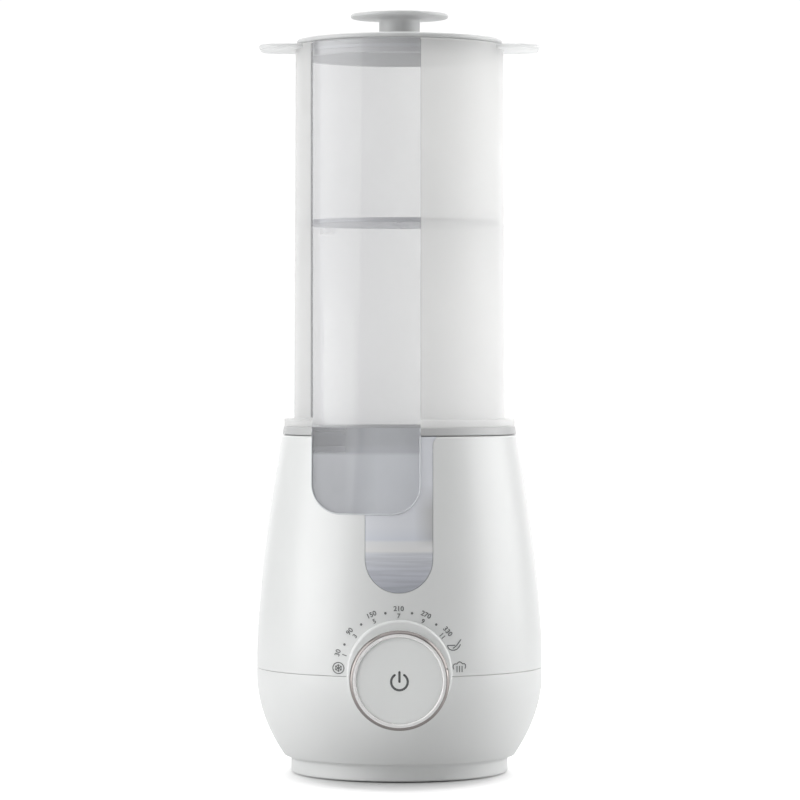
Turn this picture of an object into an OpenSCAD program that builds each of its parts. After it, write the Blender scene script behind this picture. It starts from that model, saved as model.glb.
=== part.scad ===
// Bottle warmer and steam steriliser: an egg-shaped heater base with a large
// front dial, a tall frosted steam chamber with sight windows, an accessory
// tray, a bottle rack and a lid with a mushroom knob.
// Millimetres, +Z up, front is -Y, origin on the table below the body's axis.

/* [Body shell] */
// Radius of the body at its widest
body_r = 66.4; // [65.4:0.1:67.4]
// Height of the seam between bottom cover and housing
seam_z = 49.2; // [48.6:0.1:49.4]
// Height of the housing's top edge
housing_top = 156.9; // [156.4:0.1:157.0]
// Wall thickness of housing and bottom cover
wall = 2.4; // [2:0.1:2.8]
// Radius of the foot ring
foot_r = 50.4; // [49.8:0.1:51]

/* [Well and windows] */
// Inner radius of the heating well
well_r = 43; // [42.6:0.1:43.2]
// Height of the well's top edge
well_top = 151; // [150:0.1:151.1]
// Height of the heater plate's face
plate_z = 85.4; // [84:0.1:85.6]
// Left edge of the tall sight window
sight_left = -40.2; // [-40.4:0.1:-37]
// Right edge of the tall sight window
sight_right = 9.7; // [7:0.1:10]
// Lowest point of the tall sight window in the housing
sight_bottom = 121.7; // [119:0.1:126]
// Corner radius of the tall sight window
sight_corner = 13.5; // [10:0.1:15]
// Left edge of the water level window
level_left = -15.6; // [-17:0.1:-14]
// Right edge of the water level window
level_right = 15.2; // [13:0.1:16]
// Lowest point of the water level window
level_bottom = 86.7; // [86.5:0.1:92]

/* [Steam chamber] */
// Outer radius of the chamber at its foot
chamber_r = 49; // [48.9:0.1:49.2]
// Narrowing of the chamber's radius towards its top
chamber_taper = 0.7; // [0.5:0.1:0.9]
// Height of the chamber's rim
chamber_top = 338; // [330:0.5:345]
// Wall thickness of the chamber
chamber_wall = 2.2; // [2:0.1:2.3]
// Distance of the ears' tips from the axis
ear_reach = 65; // [60:0.5:70]
// Width of an ear, front to back
ear_width = 37; // [30:0.5:42]
// Height of the accessory tray's underside
tray_z = 254.4; // [245:0.1:260]

/* [Lid] */
// Radius of the lid
lid_r = 47.8; // [47:0.1:48.2]
// Depth of the lid's plug inside the chamber
plug_depth = 6.6; // [5:0.1:8]
// Radius of the knob's disc
knob_r = 22.8; // [18:0.1:26]
// Radius of the knob's stem
stem_r = 9.5; // [7:0.1:11]
// Height of the knob above the lid
knob_height = 12.3; // [10:0.1:16]

/* [Dial] */
// Height of the dial's axis
dial_z = 48.5; // [47.5:0.1:49.5]
// Outer radius of the dial's metal ring
dial_r = 22.4; // [22.3:0.1:22.6]
// Distance of the dial's face in front of the axis
dial_face = 78; // [77.8:0.1:79]
// Radius of the power button's face
button_r = 19.2; // [18:0.1:19.3]
// Radius of the collar behind the dial
collar_r = 23.8; // [23.5:0.1:25]
// Rise of the collar's centre above the dial's axis
collar_rise = 2.65; // [2:0.05:3]

/* [Hidden] */
$fn = 96;

// Clearances
eps = 0.05;          // parts of one body that lie on each other
slip = 0.15;         // panes in their openings
loose = 0.3;         // bodies that lift off each other

// Body outline: straight belly, shoulder drawn in above, bowl drawn in below
belly_low = 46;
belly_high = 56;
shoulder_draw = 11.7;
shoulder_span = 100;
shoulder_power = 1.52;
bowl_curve = 0.0091;
function body_radius(z) =
    z < belly_low ? body_r - bowl_curve * pow(belly_low - z, 2)
    : z < belly_high ? body_r
    : body_r - shoulder_draw * pow((z - belly_high) / shoulder_span, shoulder_power);
function profile(z0, z1, n, inset) =
    [for (i = [0 : n]) let (z = z0 + (z1 - z0) * i / n) [body_radius(z) - inset, z]];
function reversed(list) = [for (i = [len(list) - 1 : -1 : 0]) list[i]];
function arc(cx, cz, r, a0, a1, n) =
    [for (i = [0 : n]) let (a = a0 + (a1 - a0) * i / n) [cx + r * cos(a), cz + r * sin(a)]];

// Base stack
seam_gap = 0.15;
deck_t = 2.4;                       // housing's top deck
deck_hole_r = 49.4;
edge = 0.6;                         // bevel on the housing's top edge
foot_z = 0.5;                       // foot ring stands above the table on rubber feet
waist_z = 6.3;                      // height of the narrow waist above the foot ring
waist_r = 2.1;
floor_z = 3;
floor_t = 2.4;
tongue_t = 1.5;
post_ring = 43;                     // screw posts' distance from the axis
post_r = 4.2;
post_foot = 8.6;
post_top = plate_z - 5.1;
rib_low = 52.8;
rib_high = 72;
rib_t = 3;
screw_r = 1.5;
pilot_r = 1.55;
well_wall = 1.5;
well_floor = plate_z - 5;
well_lip_r = 36;
well_flange_r = 47;
trim_top = 161;
trim_r = 54.4;
trim_top_r = 53.8;
trim_inner_r = 45;
groove_in = 46.6;
groove_out = 50.2;
groove_z = 158.2;
plate_t = 2.5;
plate_boss_r = 32;
plate_boss_z = plate_z - 8;
tube_r = 3.2;                       // heating tube's own radius
tube_ring_r = 26;                   // radius of the ring it is bent to
tube_gap = 40;                      // degrees left open at the back
tube_bend = 5;
tube_drop = 18;                     // from the ring's middle down to its terminals
tube_z = plate_boss_z - tube_r - 0.5;

// Dial stack, distances in front of the axis
collar_front = 69.2;
sleeve_r = 18;
sleeve_bore = 16.7;
dial_back = 69.6;
hub_r = 16.3;
hub_back = 60;
hub_floor = 66;
shaft_r = 4;
shaft_back = 53;
shaft_bore = 2.6;
cavity_floor = 73.6;
ring_back = 74.5;
ring_inner = 19.4;
ring_crest_r = 20.6;
ring_lip = 0.9;                     // depth of the bevel inside the crest
stem_back = 53.8;
button_face = dial_face - 0.8;
button_t = 1.9;
pointer_angle = 14;                 // degrees above the horizontal, at the last setting
pointer_r = dial_r - 0.75;

// Electronics
board_y = -48.4;
board_t = 1.6;
board_size = 44;
screw_pitch = 18;                   // board screws on both sides of the middle
power_screw_y = [-12, 28];
board_pilot_r = 1.05;
screw_head_h = 1.6;
power_board_z = 12;
parts_z = power_board_z + board_t + eps;    // where the power board's components stand
terminal_h = 11;
encoder_size = 14;
gland_z = 28;
gland_face = 65.4;

// Turns a flat outline in x and height into a bar that runs forwards from depth d0 to d1
module front_bar(d0, d1) {
    translate([0, -d0, 0]) rotate([90, 0, 0]) linear_extrude(d1 - d0) children();
}

// A round bar along Y between two distances in front of the axis
module front_rod(r, d0, d1, z = dial_z, x = 0) {
    translate([x, -d0, z]) rotate([90, 0, 0]) cylinder(r = r, h = d1 - d0);
}

module ring(r_in, r_out, z0, z1) {
    translate([0, 0, z0]) difference() {
        cylinder(r = r_out, h = z1 - z0);
        translate([0, 0, -1]) cylinder(r = r_in, h = z1 - z0 + 2);
    }
}

// Tall sight window: square above, rounded corners below
module sight_outline(grow = 0, top = 170) {
    r = sight_corner;
    z = sight_bottom + r;
    translate([sight_left - grow, z]) square([sight_right - sight_left + 2 * grow, top - z]);
    translate([sight_left + r, sight_bottom - grow])
        square([sight_right - sight_left - 2 * r, top - sight_bottom + grow]);
    for (x = [sight_left + r, sight_right - r]) translate([x, z]) circle(r = r + grow);
}

// Water level window: a slot with a half-round foot and a flared top right corner
module level_outline(grow = 0, top = housing_top + 0.1) {
    r = (level_right - level_left) / 2;
    z = level_bottom + r;
    flare = 1.8;
    flare_h = 2.7;
    translate([level_left - grow, z]) square([2 * (r + grow), top - z]);
    translate([level_left + r, z]) circle(r = r + grow);
    polygon([[level_right + grow - 1, housing_top - flare_h - 1],
             [level_right + grow, housing_top - flare_h],
             [level_right + grow + flare, housing_top], [level_right + grow + flare, top],
             [level_right + grow - 1, top]]);
}

module both_outlines(grow = 0) {
    sight_outline(grow);
    level_outline(grow);
}

module window_cut(grow = 0) {
    front_bar(0, 90) both_outlines(grow);
}

// Screw places of the power board and of the control board
module at_power_board_screws() {
    for (x = [-screw_pitch, screw_pitch], y = power_screw_y) translate([x, y, 0]) children();
}

module at_control_board_screws() {
    for (x = [-screw_pitch, screw_pitch], z = [-screw_pitch, screw_pitch])
        translate([x, 0, dial_z + z]) children();
}

module control_board_rods(r, d0, d1) {
    at_control_board_screws() front_rod(r, d0, d1, 0, $fn = 32);
}

module at_posts() {
    for (a = [45 : 90 : 315]) rotate(a) translate([post_ring, 0, 0]) children();
}

// ---- base ----

module housing() {
    low = seam_z + seam_gap / 2;
    deck = housing_top - deck_t;
    outline = concat(
        profile(low, housing_top - edge, 24, 0),
        [[body_radius(housing_top) - edge, housing_top], [deck_hole_r, housing_top],
         [deck_hole_r, deck]],
        reversed(profile(low, deck, 14, wall)));
    color("#eef0ef") difference() {
        union() {
            rotate_extrude() polygon(outline);
            at_posts() translate([0, 0, post_foot])
                cylinder(r = post_r, h = post_top - post_foot, $fn = 32);
            at_posts() translate([post_r - 1, -rib_t / 2, rib_low])
                cube([body_r - wall + 0.5 - post_ring - post_r + 1, rib_t, rib_high - rib_low]);
        }
        window_cut();
        front_rod(sleeve_r + 0.2, 50, 90);
        at_posts() translate([0, 0, post_foot - 1]) cylinder(r = pilot_r, h = 15, $fn = 32);
    }
}

module bottom_cover() {
    top = seam_z - seam_gap / 2;
    tongue_r = body_r - wall - 0.15;
    shelf_z = 44.5;
    boss_top = post_foot - eps;
    outline = concat(
        [[0, floor_z], [foot_r - 4.4, floor_z], [foot_r - 4.4, foot_z]],
        arc(foot_r - 1, foot_z + 1, 1, -90, 0, 4),
        arc(foot_r + waist_r, waist_z, waist_r, 180, 98, 4),
        profile(waist_z + 2.3, top, 18, 0),
        [[tongue_r, top], [tongue_r, top + 3.5], [tongue_r - tongue_t, top + 3.5],
         [tongue_r - tongue_t, shelf_z]],
        reversed(profile(waist_z + 4.2, shelf_z - tongue_t - 0.2, 12, wall)),
        [[foot_r - 0.3, waist_z + 2.4], [foot_r - 1.1, waist_z + 0.8],
         [foot_r - 1.1, floor_z + floor_t], [0, floor_z + floor_t]]);
    color("#e6e8e7") difference() {
        union() {
            rotate_extrude() polygon(outline);
            at_posts() translate([0, 0, floor_z + 1])
                cylinder(r = post_r, h = boss_top - floor_z - 1, $fn = 32);
            at_power_board_screws() translate([0, 0, floor_z + 1])
                cylinder(r = 2.5, h = power_board_z - eps - floor_z - 1, $fn = 32);
            translate([0, 56, gland_z]) rotate([-90, 0, 0]) cylinder(r = 8, h = gland_face - 56);
        }
        front_rod(sleeve_r + 0.2, 50, 90);
        at_posts() translate([0, 0, floor_z - 1]) cylinder(r = screw_r + 0.3, h = 9, $fn = 32);
        at_posts() translate([0, 0, floor_z - 1]) cylinder(r = 3.7, h = 3, $fn = 32);
        at_power_board_screws() translate([0, 0, floor_z + floor_t + 0.6])
            cylinder(r = board_pilot_r, h = 8, $fn = 24);
        translate([0, 50, gland_z]) rotate([-90, 0, 0]) cylinder(r = 5.1, h = 30);
    }
}

module trim_ring() {
    low = well_top + 0.2;
    step_r = deck_hole_r - 0.2;
    rest = housing_top + eps;
    outline = [
        [trim_inner_r, low], [groove_in, low], [groove_in, low + 3], [step_r, low + 3],
        [step_r, rest], [step_r + 2.4, rest], [step_r + 2.4, rest + 0.35],
        [trim_r, rest + 0.35], [trim_top_r + 0.1, trim_top - 0.5], [trim_top_r - 0.4, trim_top],
        [groove_out, trim_top], [groove_out, groove_z], [groove_in, groove_z],
        [groove_in, trim_top], [trim_inner_r, trim_top]];
    color("#b4b5b5") difference() {
        rotate_extrude() polygon(outline);
        front_bar(0, 90) sight_outline();
    }
}

module heating_well() {
    r_out = well_r + well_wall;
    outline = [
        [well_lip_r, well_floor], [r_out, well_floor], [r_out, well_top - 1.5],
        [well_flange_r, well_top - 1.5], [well_flange_r, well_top], [well_r, well_top],
        [well_r, well_floor + well_wall], [well_lip_r, well_floor + well_wall]];
    color("#c6c8d2") difference() {
        rotate_extrude() polygon(outline);
        window_cut();
    }
}

module well_gasket() {
    color("#d8d8d4")
        ring(well_lip_r + 1, well_r - 0.3, well_floor + well_wall + eps, plate_z - plate_t - eps);
}

module heater_plate() {
    color("#a9abb0") rotate_extrude() polygon([
        [0, plate_boss_z], [plate_boss_r, plate_boss_z], [plate_boss_r, plate_z - plate_t],
        [well_r - 0.2, plate_z - plate_t], [well_r - 0.2, plate_z - 0.4], [well_r - 1.2, plate_z],
        [well_r - 6, plate_z], [well_r - 7, plate_z - 0.6], [0, plate_z - 0.6]]);
}

// Places its children at the two cold ends of the heating tube, at the back
module at_cold_ends() {
    for (side = [-1, 1]) rotate(90 - side * tube_gap / 2) translate([tube_ring_r, 0, 0])
        mirror([0, side < 0 ? 1 : 0, 0]) children();
}

// Open ring of sheathed heating tube, its two ends crimped and bent down
module heater_element() {
    z = tube_z;
    color("#8d8f92") union() {
        translate([0, 0, z]) rotate(90 + tube_gap / 2) rotate_extrude(angle = 360 - tube_gap)
            translate([tube_ring_r, 0]) circle(r = tube_r, $fn = 32);
        at_cold_ends() {
            translate([0, 1.2, z]) rotate([90, 0, 0]) cylinder(r = tube_r + 0.4, h = 2.4, $fn = 32);
            translate([0, 0, z - tube_bend]) rotate([90, 0, 90]) rotate_extrude(angle = 90)
                translate([tube_bend, 0]) circle(r = tube_r, $fn = 32);
            translate([0, tube_bend, z - tube_bend - 8]) cylinder(r = tube_r, h = 8, $fn = 32);
            translate([0, tube_bend, z - tube_drop])
                cylinder(r = 1.4, h = tube_drop - tube_bend - 7, $fn = 32);
        }
    }
}

module thermostat() {
    color("#2c2d30") translate([0, 0, plate_boss_z - eps]) mirror([0, 0, 1]) {
        cylinder(r = 8.5, h = 3);
        cylinder(r = 7.2, h = 8.5);
        for (x = [-4.5, 4.5]) translate([x - 0.4, -2.4, 8]) cube([0.8, 4.8, 7]);
    }
}

module temperature_sensor() {
    color("#c9b06a") translate([0, -15, plate_boss_z - eps]) mirror([0, 0, 1]) {
        cylinder(r = 3.4, h = 1.2, $fn = 32);
        cylinder(r = 2.3, h = 9, $fn = 32);
    }
}

module thermal_fuse() {
    color("#d9d3c4") translate([15, 0, plate_boss_z - 2.1 - eps]) rotate([90, 0, 0]) {
        translate([0, 0, -6]) cylinder(r = 2.1, h = 12, $fn = 32);
        translate([0, 0, -11]) cylinder(r = 0.5, h = 22, $fn = 32);
    }
}

// Pane that carries on the housing's skin, then the trim ring's, over a span of heights
module skin_pane(z0, z1) {
    t = 2.2;
    top_r = body_radius(housing_top);
    outer = concat(profile(z0, housing_top, 12, slip), z1 > housing_top ? [[trim_top_r, z1]] : []);
    inner = concat(profile(z0, housing_top, 6, slip + t), z1 > housing_top ? [[trim_top_r - t, z1]] : []);
    rotate_extrude() polygon(concat(outer, reversed(inner)));
}

module bottle_window() {
    color("#dfe6f0", 0.35) intersection() {
        skin_pane(sight_bottom - 1, trim_top - 0.1);
        front_bar(0, 90) sight_outline(-slip);
    }
}

module level_window() {
    color("#d7dcee", 0.4) difference() {
        intersection() {
            skin_pane(level_bottom - 1, housing_top);
            front_bar(0, 90) level_outline(-slip);
        }
        front_bar(0, 90) sight_outline(slip / 2);
    }
}

module well_window() {
    color("#e4e9f2", 0.3) intersection() {
        ring(well_r, well_r + well_wall, well_floor + 2, trim_top - 0.1);
        front_bar(0, 90) both_outlines(-slip);
    }
}

// Light tunnel between the housing's opening and the well's opening
module window_frame() {
    t = 1.5;
    back_r = well_r + well_wall + 1.3;
    split_z = well_top - 1.7;
    top = housing_top - deck_t - eps;
    outline = concat(
        [[back_r, level_bottom - 4]],
        profile(level_bottom - 4, top, 14, wall + 0.1),
        [[deck_hole_r + 0.2, top], [deck_hole_r + 0.2, split_z], [back_r, split_z]]);
    color("#d3d4da") difference() {
        intersection() {
            rotate_extrude() polygon(outline);
            window_cut(t);
        }
        window_cut();
    }
}

module window_seal() {
    lap_in = 0.6;
    lap_out = 1.5;
    r = well_r + well_wall + eps;
    color("#9a9ca4") difference() {
        intersection() {
            ring(r, r + 1.1, level_bottom - 4, well_top - 1.7);
            window_cut(lap_out);
        }
        window_cut(-lap_in);
    }
}

// Eccentric bezel behind the dial, its back hollowed to the body's skin
module dial_collar() {
    bevel = 1.2;
    color("#e9ebea") difference() {
        union() {
            difference() {
                union() {
                    front_rod(collar_r, 50, collar_front - bevel, dial_z + collar_rise);
                    translate([0, -(collar_front - bevel), dial_z + collar_rise]) rotate([90, 0, 0])
                        cylinder(r1 = collar_r, r2 = collar_r - bevel, h = bevel);
                }
                rotate_extrude() polygon(concat([[0, 20]], profile(20, 82, 16, -eps), [[0, 82]]));
            }
            front_rod(sleeve_r, 58, collar_front - 1);
        }
        front_rod(sleeve_bore, 50, 90);
    }
}

// Printed dots of the scale, on the housing's skin
module dial_scale() {
    scale_r = 27.4;
    dot_r = 0.45;
    dot_angles = [-63, -38, -12.6, 12.6, 38];
    color("#7a7c7c") intersection() {
        union() {
            for (a = dot_angles)
                front_rod(dot_r, 50, 80, dial_z + collar_rise + scale_r * cos(a),
                          scale_r * sin(a), $fn = 24);
        }
        rotate_extrude() polygon(concat(profile(56, 90, 12, -0.12), reversed(profile(56, 90, 12, -0.02))));
    }
}

module control_board() {
    color("#2f6b46") difference() {
        translate([-board_size / 2, board_y - board_t, dial_z - board_size / 2])
            cube([board_size, board_t, board_size]);
        control_board_rods(1.6, 40, 60);
    }
}

module board_bracket() {
    back = -board_y - 4.4;
    plate_t = 2;
    color("#d5d5d0") difference() {
        union() {
            translate([-22, -back, floor_z + floor_t + eps]) cube([44, plate_t, 66]);
            translate([-16, -back, floor_z + floor_t + eps]) cube([32, 20, 2]);
            control_board_rods(3, back - 1, -board_y - eps);
        }
        control_board_rods(board_pilot_r, back - 4, 60);
    }
}

module rotary_encoder() {
    front = 57.5;
    color("#3a3b3e") difference() {
        front_bar(-board_y + board_t + eps, front) translate([-encoder_size / 2, dial_z - encoder_size / 2])
            square(encoder_size);
        front_rod(shaft_r + 0.1, 40, 60);
    }
}

module tact_switch() {
    back = -board_y + board_t + eps;
    color("#1d1e20") union() {
        front_bar(back, back + 1.5) translate([-2.5, dial_z - 2.5]) square(5);
        front_rod(1.5, back + 1, stem_back - 1.4, $fn = 32);
    }
}

module power_board() {
    color("#2f6b46") difference() {
        translate([-22, -16, power_board_z]) cube([44, 48, board_t]);
        at_power_board_screws() translate([0, 0, power_board_z - 1]) cylinder(r = 1.3, h = 4, $fn = 24);
    }
}

module relay() {
    color("#2a5db0") translate([-19, -6, parts_z]) cube([15, 19, 15]);
}

module supply_capacitor() {
    color("#33363c") translate([10, 0, parts_z]) {
        cylinder(r = 6, h = 16, $fn = 48);
        translate([0, 0, 15.5]) cylinder(r = 4.6, h = 0.9, $fn = 48);
    }
}

module terminal_block() {
    color("#3f7f52") difference() {
        translate([-12.5, 18, parts_z]) cube([25, 10, terminal_h]);
        for (x = [-6.5, 6.5]) translate([x, 29, parts_z + 5]) rotate([90, 0, 0])
            cylinder(r = 2, h = 6, $fn = 24);
    }
}

// Two stiff leads from the terminal block up to the element's ends, with crimped sleeves
module heater_leads() {
    lead_r = 1.2;
    low = parts_z + terminal_h + eps;
    high = tube_z - tube_drop - eps;
    color("#c94f43") at_cold_ends() {
        translate([0, tube_bend, low]) cylinder(r = lead_r, h = high - low, $fn = 24);
        translate([0, tube_bend, high - 6]) cylinder(r = 1.9, h = 6, $fn = 24);
    }
}

// Rubber bush that lines the lead's hole in the back wall
module cord_gland() {
    color("#dcdedd") translate([0, 0, gland_z]) rotate([-90, 0, 0]) rotate_extrude() polygon([
        [3.3, 52], [6.6, 52], [6.6, 54.5], [5, 54.5], [5, gland_face + eps], [6.8, gland_face + eps],
        [6.8, gland_face + 1.6], [6, gland_face + 2.6], [3.3, gland_face + 2.6]]);
}

module rubber_feet() {
    color("#6f7173") for (a = [0 : 90 : 270]) rotate(a) translate([38, 0, 0]) {
        cylinder(r1 = 5, r2 = 5.6, h = 0.8, $fn = 48);
        translate([0, 0, 0.8]) cylinder(r = 5.6, h = floor_z - 0.8 - eps, $fn = 48);
    }
}

module cross_screw(head_r, head_h, length, r) {
    difference() {
        union() {
            cylinder(r = head_r, h = head_h, $fn = 48);
            cylinder(r = r, h = length, $fn = 32);
        }
        for (a = [0, 90]) rotate(a) translate([-head_r * 0.6, -0.4, -1]) cube([head_r * 1.2, 0.8, 1.9]);
    }
}

module cover_screws() {
    color("#8f9295") at_posts() translate([0, 0, floor_z + 0.1]) cross_screw(3.3, 1.8, 17, screw_r);
}

module board_screws() {
    color("#8f9295") {
        at_control_board_screws() translate([0, board_y - board_t - screw_head_h - eps, 0])
            rotate([-90, 0, 0]) cross_screw(2.2, screw_head_h, 7.5, 1);
        at_power_board_screws() translate([0, 0, parts_z + screw_head_h]) mirror([0, 0, 1])
            cross_screw(2.2, screw_head_h, 6.5, 1);
    }
}

// ---- steam chamber ----

chamber_foot = trim_top + eps;
flange_top = trim_top + 3.5;
flange_r = 53.6;
spigot_low = groove_z + 1.2;
spigot_in = 47.2;
spigot_out = 49.4;
tray_r = 45.6;
ledge_r = 43.6;
function chamber_inner(z) =
    chamber_r - chamber_wall - chamber_taper * (z - flange_top) / (chamber_top - flange_top);

module chamber_opening(grow = 0) {
    front_bar(0, 90) translate([sight_left - grow, spigot_low - 5])
        square([sight_right - sight_left + 2 * grow, chamber_top - spigot_low + 10]);
}

module ear() {
    r = 10;
    z = chamber_top - 2.3;
    t = 2.1;
    translate([0, 0, z]) linear_extrude(t) {
        translate([chamber_r - chamber_wall, -ear_width / 2])
            square([ear_reach - r - chamber_r + chamber_wall, ear_width]);
        translate([chamber_r - chamber_wall, -ear_width / 2 + r])
            square([ear_reach - chamber_r + chamber_wall, ear_width - 2 * r]);
        for (s = [-1, 1]) translate([ear_reach - r, s * (ear_width / 2 - r)]) circle(r = r, $fn = 64);
    }
}

module steam_chamber() {
    top_in = chamber_inner(chamber_top);
    outline = [
        [spigot_in, spigot_low], [spigot_out, spigot_low], [spigot_out, chamber_foot],
        [flange_r, chamber_foot], [flange_r, flange_top - 0.5], [flange_r - 0.5, flange_top],
        [chamber_r, flange_top], [top_in + chamber_wall, chamber_top - 0.4],
        [top_in + chamber_wall - 0.4, chamber_top], [top_in, chamber_top],
        [chamber_r - chamber_wall, flange_top], [spigot_in, chamber_foot]];
    color("#e3e4e4") difference() {
        union() {
            rotate_extrude() polygon(outline);
            for (side = [0, 180]) rotate(side) ear();
            // four ledges under the tray
            for (a = [-46, 44, 134, 176]) rotate(a) rotate_extrude(angle = 10) polygon([
                [ledge_r, tray_z - 2.2], [chamber_inner(tray_z) + 0.6, tray_z - 3.6],
                [chamber_inner(tray_z) + 0.6, tray_z - loose], [ledge_r, tray_z - loose]]);
        }
        translate([0, 0, chamber_top - 10]) cylinder(r = top_in, h = 20);
        chamber_opening();
    }
}

// Clear insert in the chamber's opening, with a thin flange over the base's pane
module chamber_window() {
    top_in = chamber_inner(chamber_top);
    outline = [
        [spigot_in, spigot_low], [chamber_r, spigot_low], [chamber_r, chamber_foot],
        [flange_r, chamber_foot], [flange_r, chamber_foot + 1], [chamber_r, chamber_foot + 1],
        [top_in + chamber_wall, chamber_top], [top_in, chamber_top],
        [chamber_r - chamber_wall, flange_top], [spigot_in, chamber_foot]];
    color("#e8edf6", 0.3) intersection() {
        rotate_extrude() polygon(outline);
        chamber_opening(-slip);
    }
}

module chamber_seal() {
    color("#d9dcdd") ring(spigot_in + 0.1, spigot_out - 0.1, groove_z + loose, spigot_low - eps);
}

// ---- lid ----

plate_low = chamber_top + loose;
plate_high = plate_low + 2.3;
plug_r = 45.4;
seal_z = plate_low - 4.2;

module chamber_lid() {
    low = plate_low - plug_depth;
    edge_r = 1.1;
    outline = concat(
        [[1.8, plate_low], [plug_r - 1.8, plate_low], [plug_r - 1.8, low], [plug_r, low],
         [plug_r, seal_z], [plug_r - 0.6, seal_z], [plug_r - 0.6, seal_z + 1.6],
         [plug_r, seal_z + 1.6], [plug_r, plate_low]],
        arc(lid_r - edge_r, plate_low + edge_r, edge_r, -90, 0, 4),
        arc(lid_r - edge_r, plate_high - edge_r, edge_r, 0, 90, 4),
        [[1.8, plate_high]]);
    color("#c4c5c5") rotate_extrude() polygon(outline);
}

module lid_knob() {
    top = plate_high + knob_height;
    rim = 1.0;
    outline = concat(
        [[0, plate_high + 9], [1.55, plate_high + 9], [1.55, plate_high + eps], [stem_r, plate_high + eps],
         [stem_r, top - 3.4]],
        arc(stem_r + 1.2, top - 3.4, 1.2, 180, 90, 4),
        [[knob_r - 4, top - 2.2]],
        arc(knob_r - rim, top - 1.2, rim, -80, 90, 6),
        [[knob_r * 0.55, top - 0.05], [0, top]]);
    color("#c9caca") rotate_extrude() polygon(outline);
}

module lid_screw() {
    color("#9a9da0") translate([0, 0, plate_low - 2 - eps]) cross_screw(3.4, 2, 10, 1.5);
}

module lid_seal() {
    color("#dadcdc") ring(plug_r - 0.55, plug_r + 0.35, seal_z + eps, seal_z + 1.6 - eps);
}

// ---- tray and rack ----

// Radial slots of one length on one ring
module slots(count, r0, r1, width, turn = 0) {
    for (i = [0 : count - 1]) rotate(turn + i * 360 / count)
        translate([r0, -width / 2, -10]) cube([r1 - r0, width, 30]);
}

module accessory_tray() {
    t = 1.3;
    color("#a6a8aa") difference() {
        union() {
            translate([0, 0, tray_z]) cylinder(r = tray_r, h = t);
            ring(tray_r - 1.6, tray_r, tray_z, tray_z + 2.1);
            ring(9, 11, tray_z, tray_z + 2.1);
        }
        translate([0, 0, tray_z]) slots(20, 28, 41, 2.6);
        translate([0, 0, tray_z]) slots(10, 14, 25, 2.6, 9);
        translate([0, 0, tray_z - 1]) cylinder(r = 5, h = 5, $fn = 48);
    }
}

rack_z = 104.3;
rack_r = 40;
rack_t = 1.4;
rack_rim = 2.6;
module bottle_rack() {
    leg_low = plate_z + loose;
    color("#dfe0e4") difference() {
        union() {
            translate([0, 0, rack_z]) cylinder(r = rack_r, h = rack_t);
            ring(rack_r - 1.8, rack_r, rack_z, rack_z + rack_rim);
            for (a = [45 : 90 : 315]) rotate(a) translate([rack_r - 6, 0, leg_low])
                cylinder(r = 2.6, h = rack_z - leg_low + 0.5, $fn = 32);
        }
        translate([0, 0, rack_z]) slots(12, 13, 29, 3.2);
        translate([0, 0, rack_z - 1]) cylinder(r = 8, h = 5, $fn = 48);
    }
}

// ---- dial ----

module dial_body() {
    color("#d2d3d2") difference() {
        union() {
            difference() {
                union() {
                    front_rod(dial_r - 0.2, dial_back, ring_back - eps);
                    front_rod(ring_inner + 0.9, ring_back - 1, dial_face - ring_lip - 0.8 - eps);
                    front_rod(hub_r, hub_back, dial_back + 1);
                }
                front_rod(ring_inner, cavity_floor, 90);
                front_rod(hub_r - 2, hub_back - 1, hub_floor);
            }
            front_rod(shaft_r, shaft_back, hub_floor + 1);
        }
        front_rod(shaft_bore, 40, 80);
    }
}

// Places a small rod along Y at the pointer's place on the dial
module pointer_rod(r, d0, d1) {
    front_rod(r, d0, d1, dial_z + pointer_r * sin(pointer_angle), pointer_r * cos(pointer_angle), $fn = 24);
}

// Metal ring: rounded outside its crest, bevelled down to the button inside
module dial_ring() {
    shoulder = ring_back + 1.2;
    seat = ring_inner + 0.95;
    under = dial_face - ring_lip - 0.8;
    round_over = [for (a = [0 : 11.25 : 90])
        [ring_crest_r + (dial_r - ring_crest_r) * cos(a), shoulder + (dial_face - shoulder) * sin(a)]];
    color("#b9b2ae") difference() {
        translate([0, 0, dial_z]) rotate([90, 0, 0]) rotate_extrude() polygon(concat(
            [[seat, ring_back], [dial_r - 0.3, ring_back], [dial_r, ring_back + 0.3]],
            round_over,
            [[ring_inner, dial_face - ring_lip], [ring_inner, under], [seat, under]]));
        pointer_rod(0.6, ring_back + 0.8, 90);
    }
}

module dial_pointer() {
    color("#3c3c3c") pointer_rod(0.55, ring_back + 0.85, dial_face - 0.5);
}

module power_button() {
    bevel = 0.4;
    color("#cdcfce") union() {
        difference() {
            union() {
                front_rod(button_r, button_face - button_t, button_face - bevel);
                translate([0, -(button_face - bevel), dial_z]) rotate([90, 0, 0])
                    cylinder(r1 = button_r, r2 = button_r - bevel, h = bevel);
            }
            front_rod(button_r - 3, button_face - button_t - 1, button_face - button_t + 0.6);
        }
        front_rod(shaft_bore - 0.3, stem_back, button_face - button_t + 1, $fn = 32);
    }
}

// Power symbol: an open ring with a bar in its gap
module power_icon() {
    r = 4.2;
    stroke = 1;
    gap = 35;
    bar = 5.3;
    drop = 0.45;                    // the ring's centre below the dial's axis
    print_t = 0.08;
    color("#6a6c6c") translate([0, -button_face, dial_z - drop]) rotate([90, 0, 0]) {
        rotate(90 + gap) rotate_extrude(angle = 360 - 2 * gap)
            translate([r - stroke, 0]) square([stroke, print_t]);
        translate([-stroke / 2, -drop, 0]) cube([stroke, bar, print_t]);
    }
}

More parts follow.
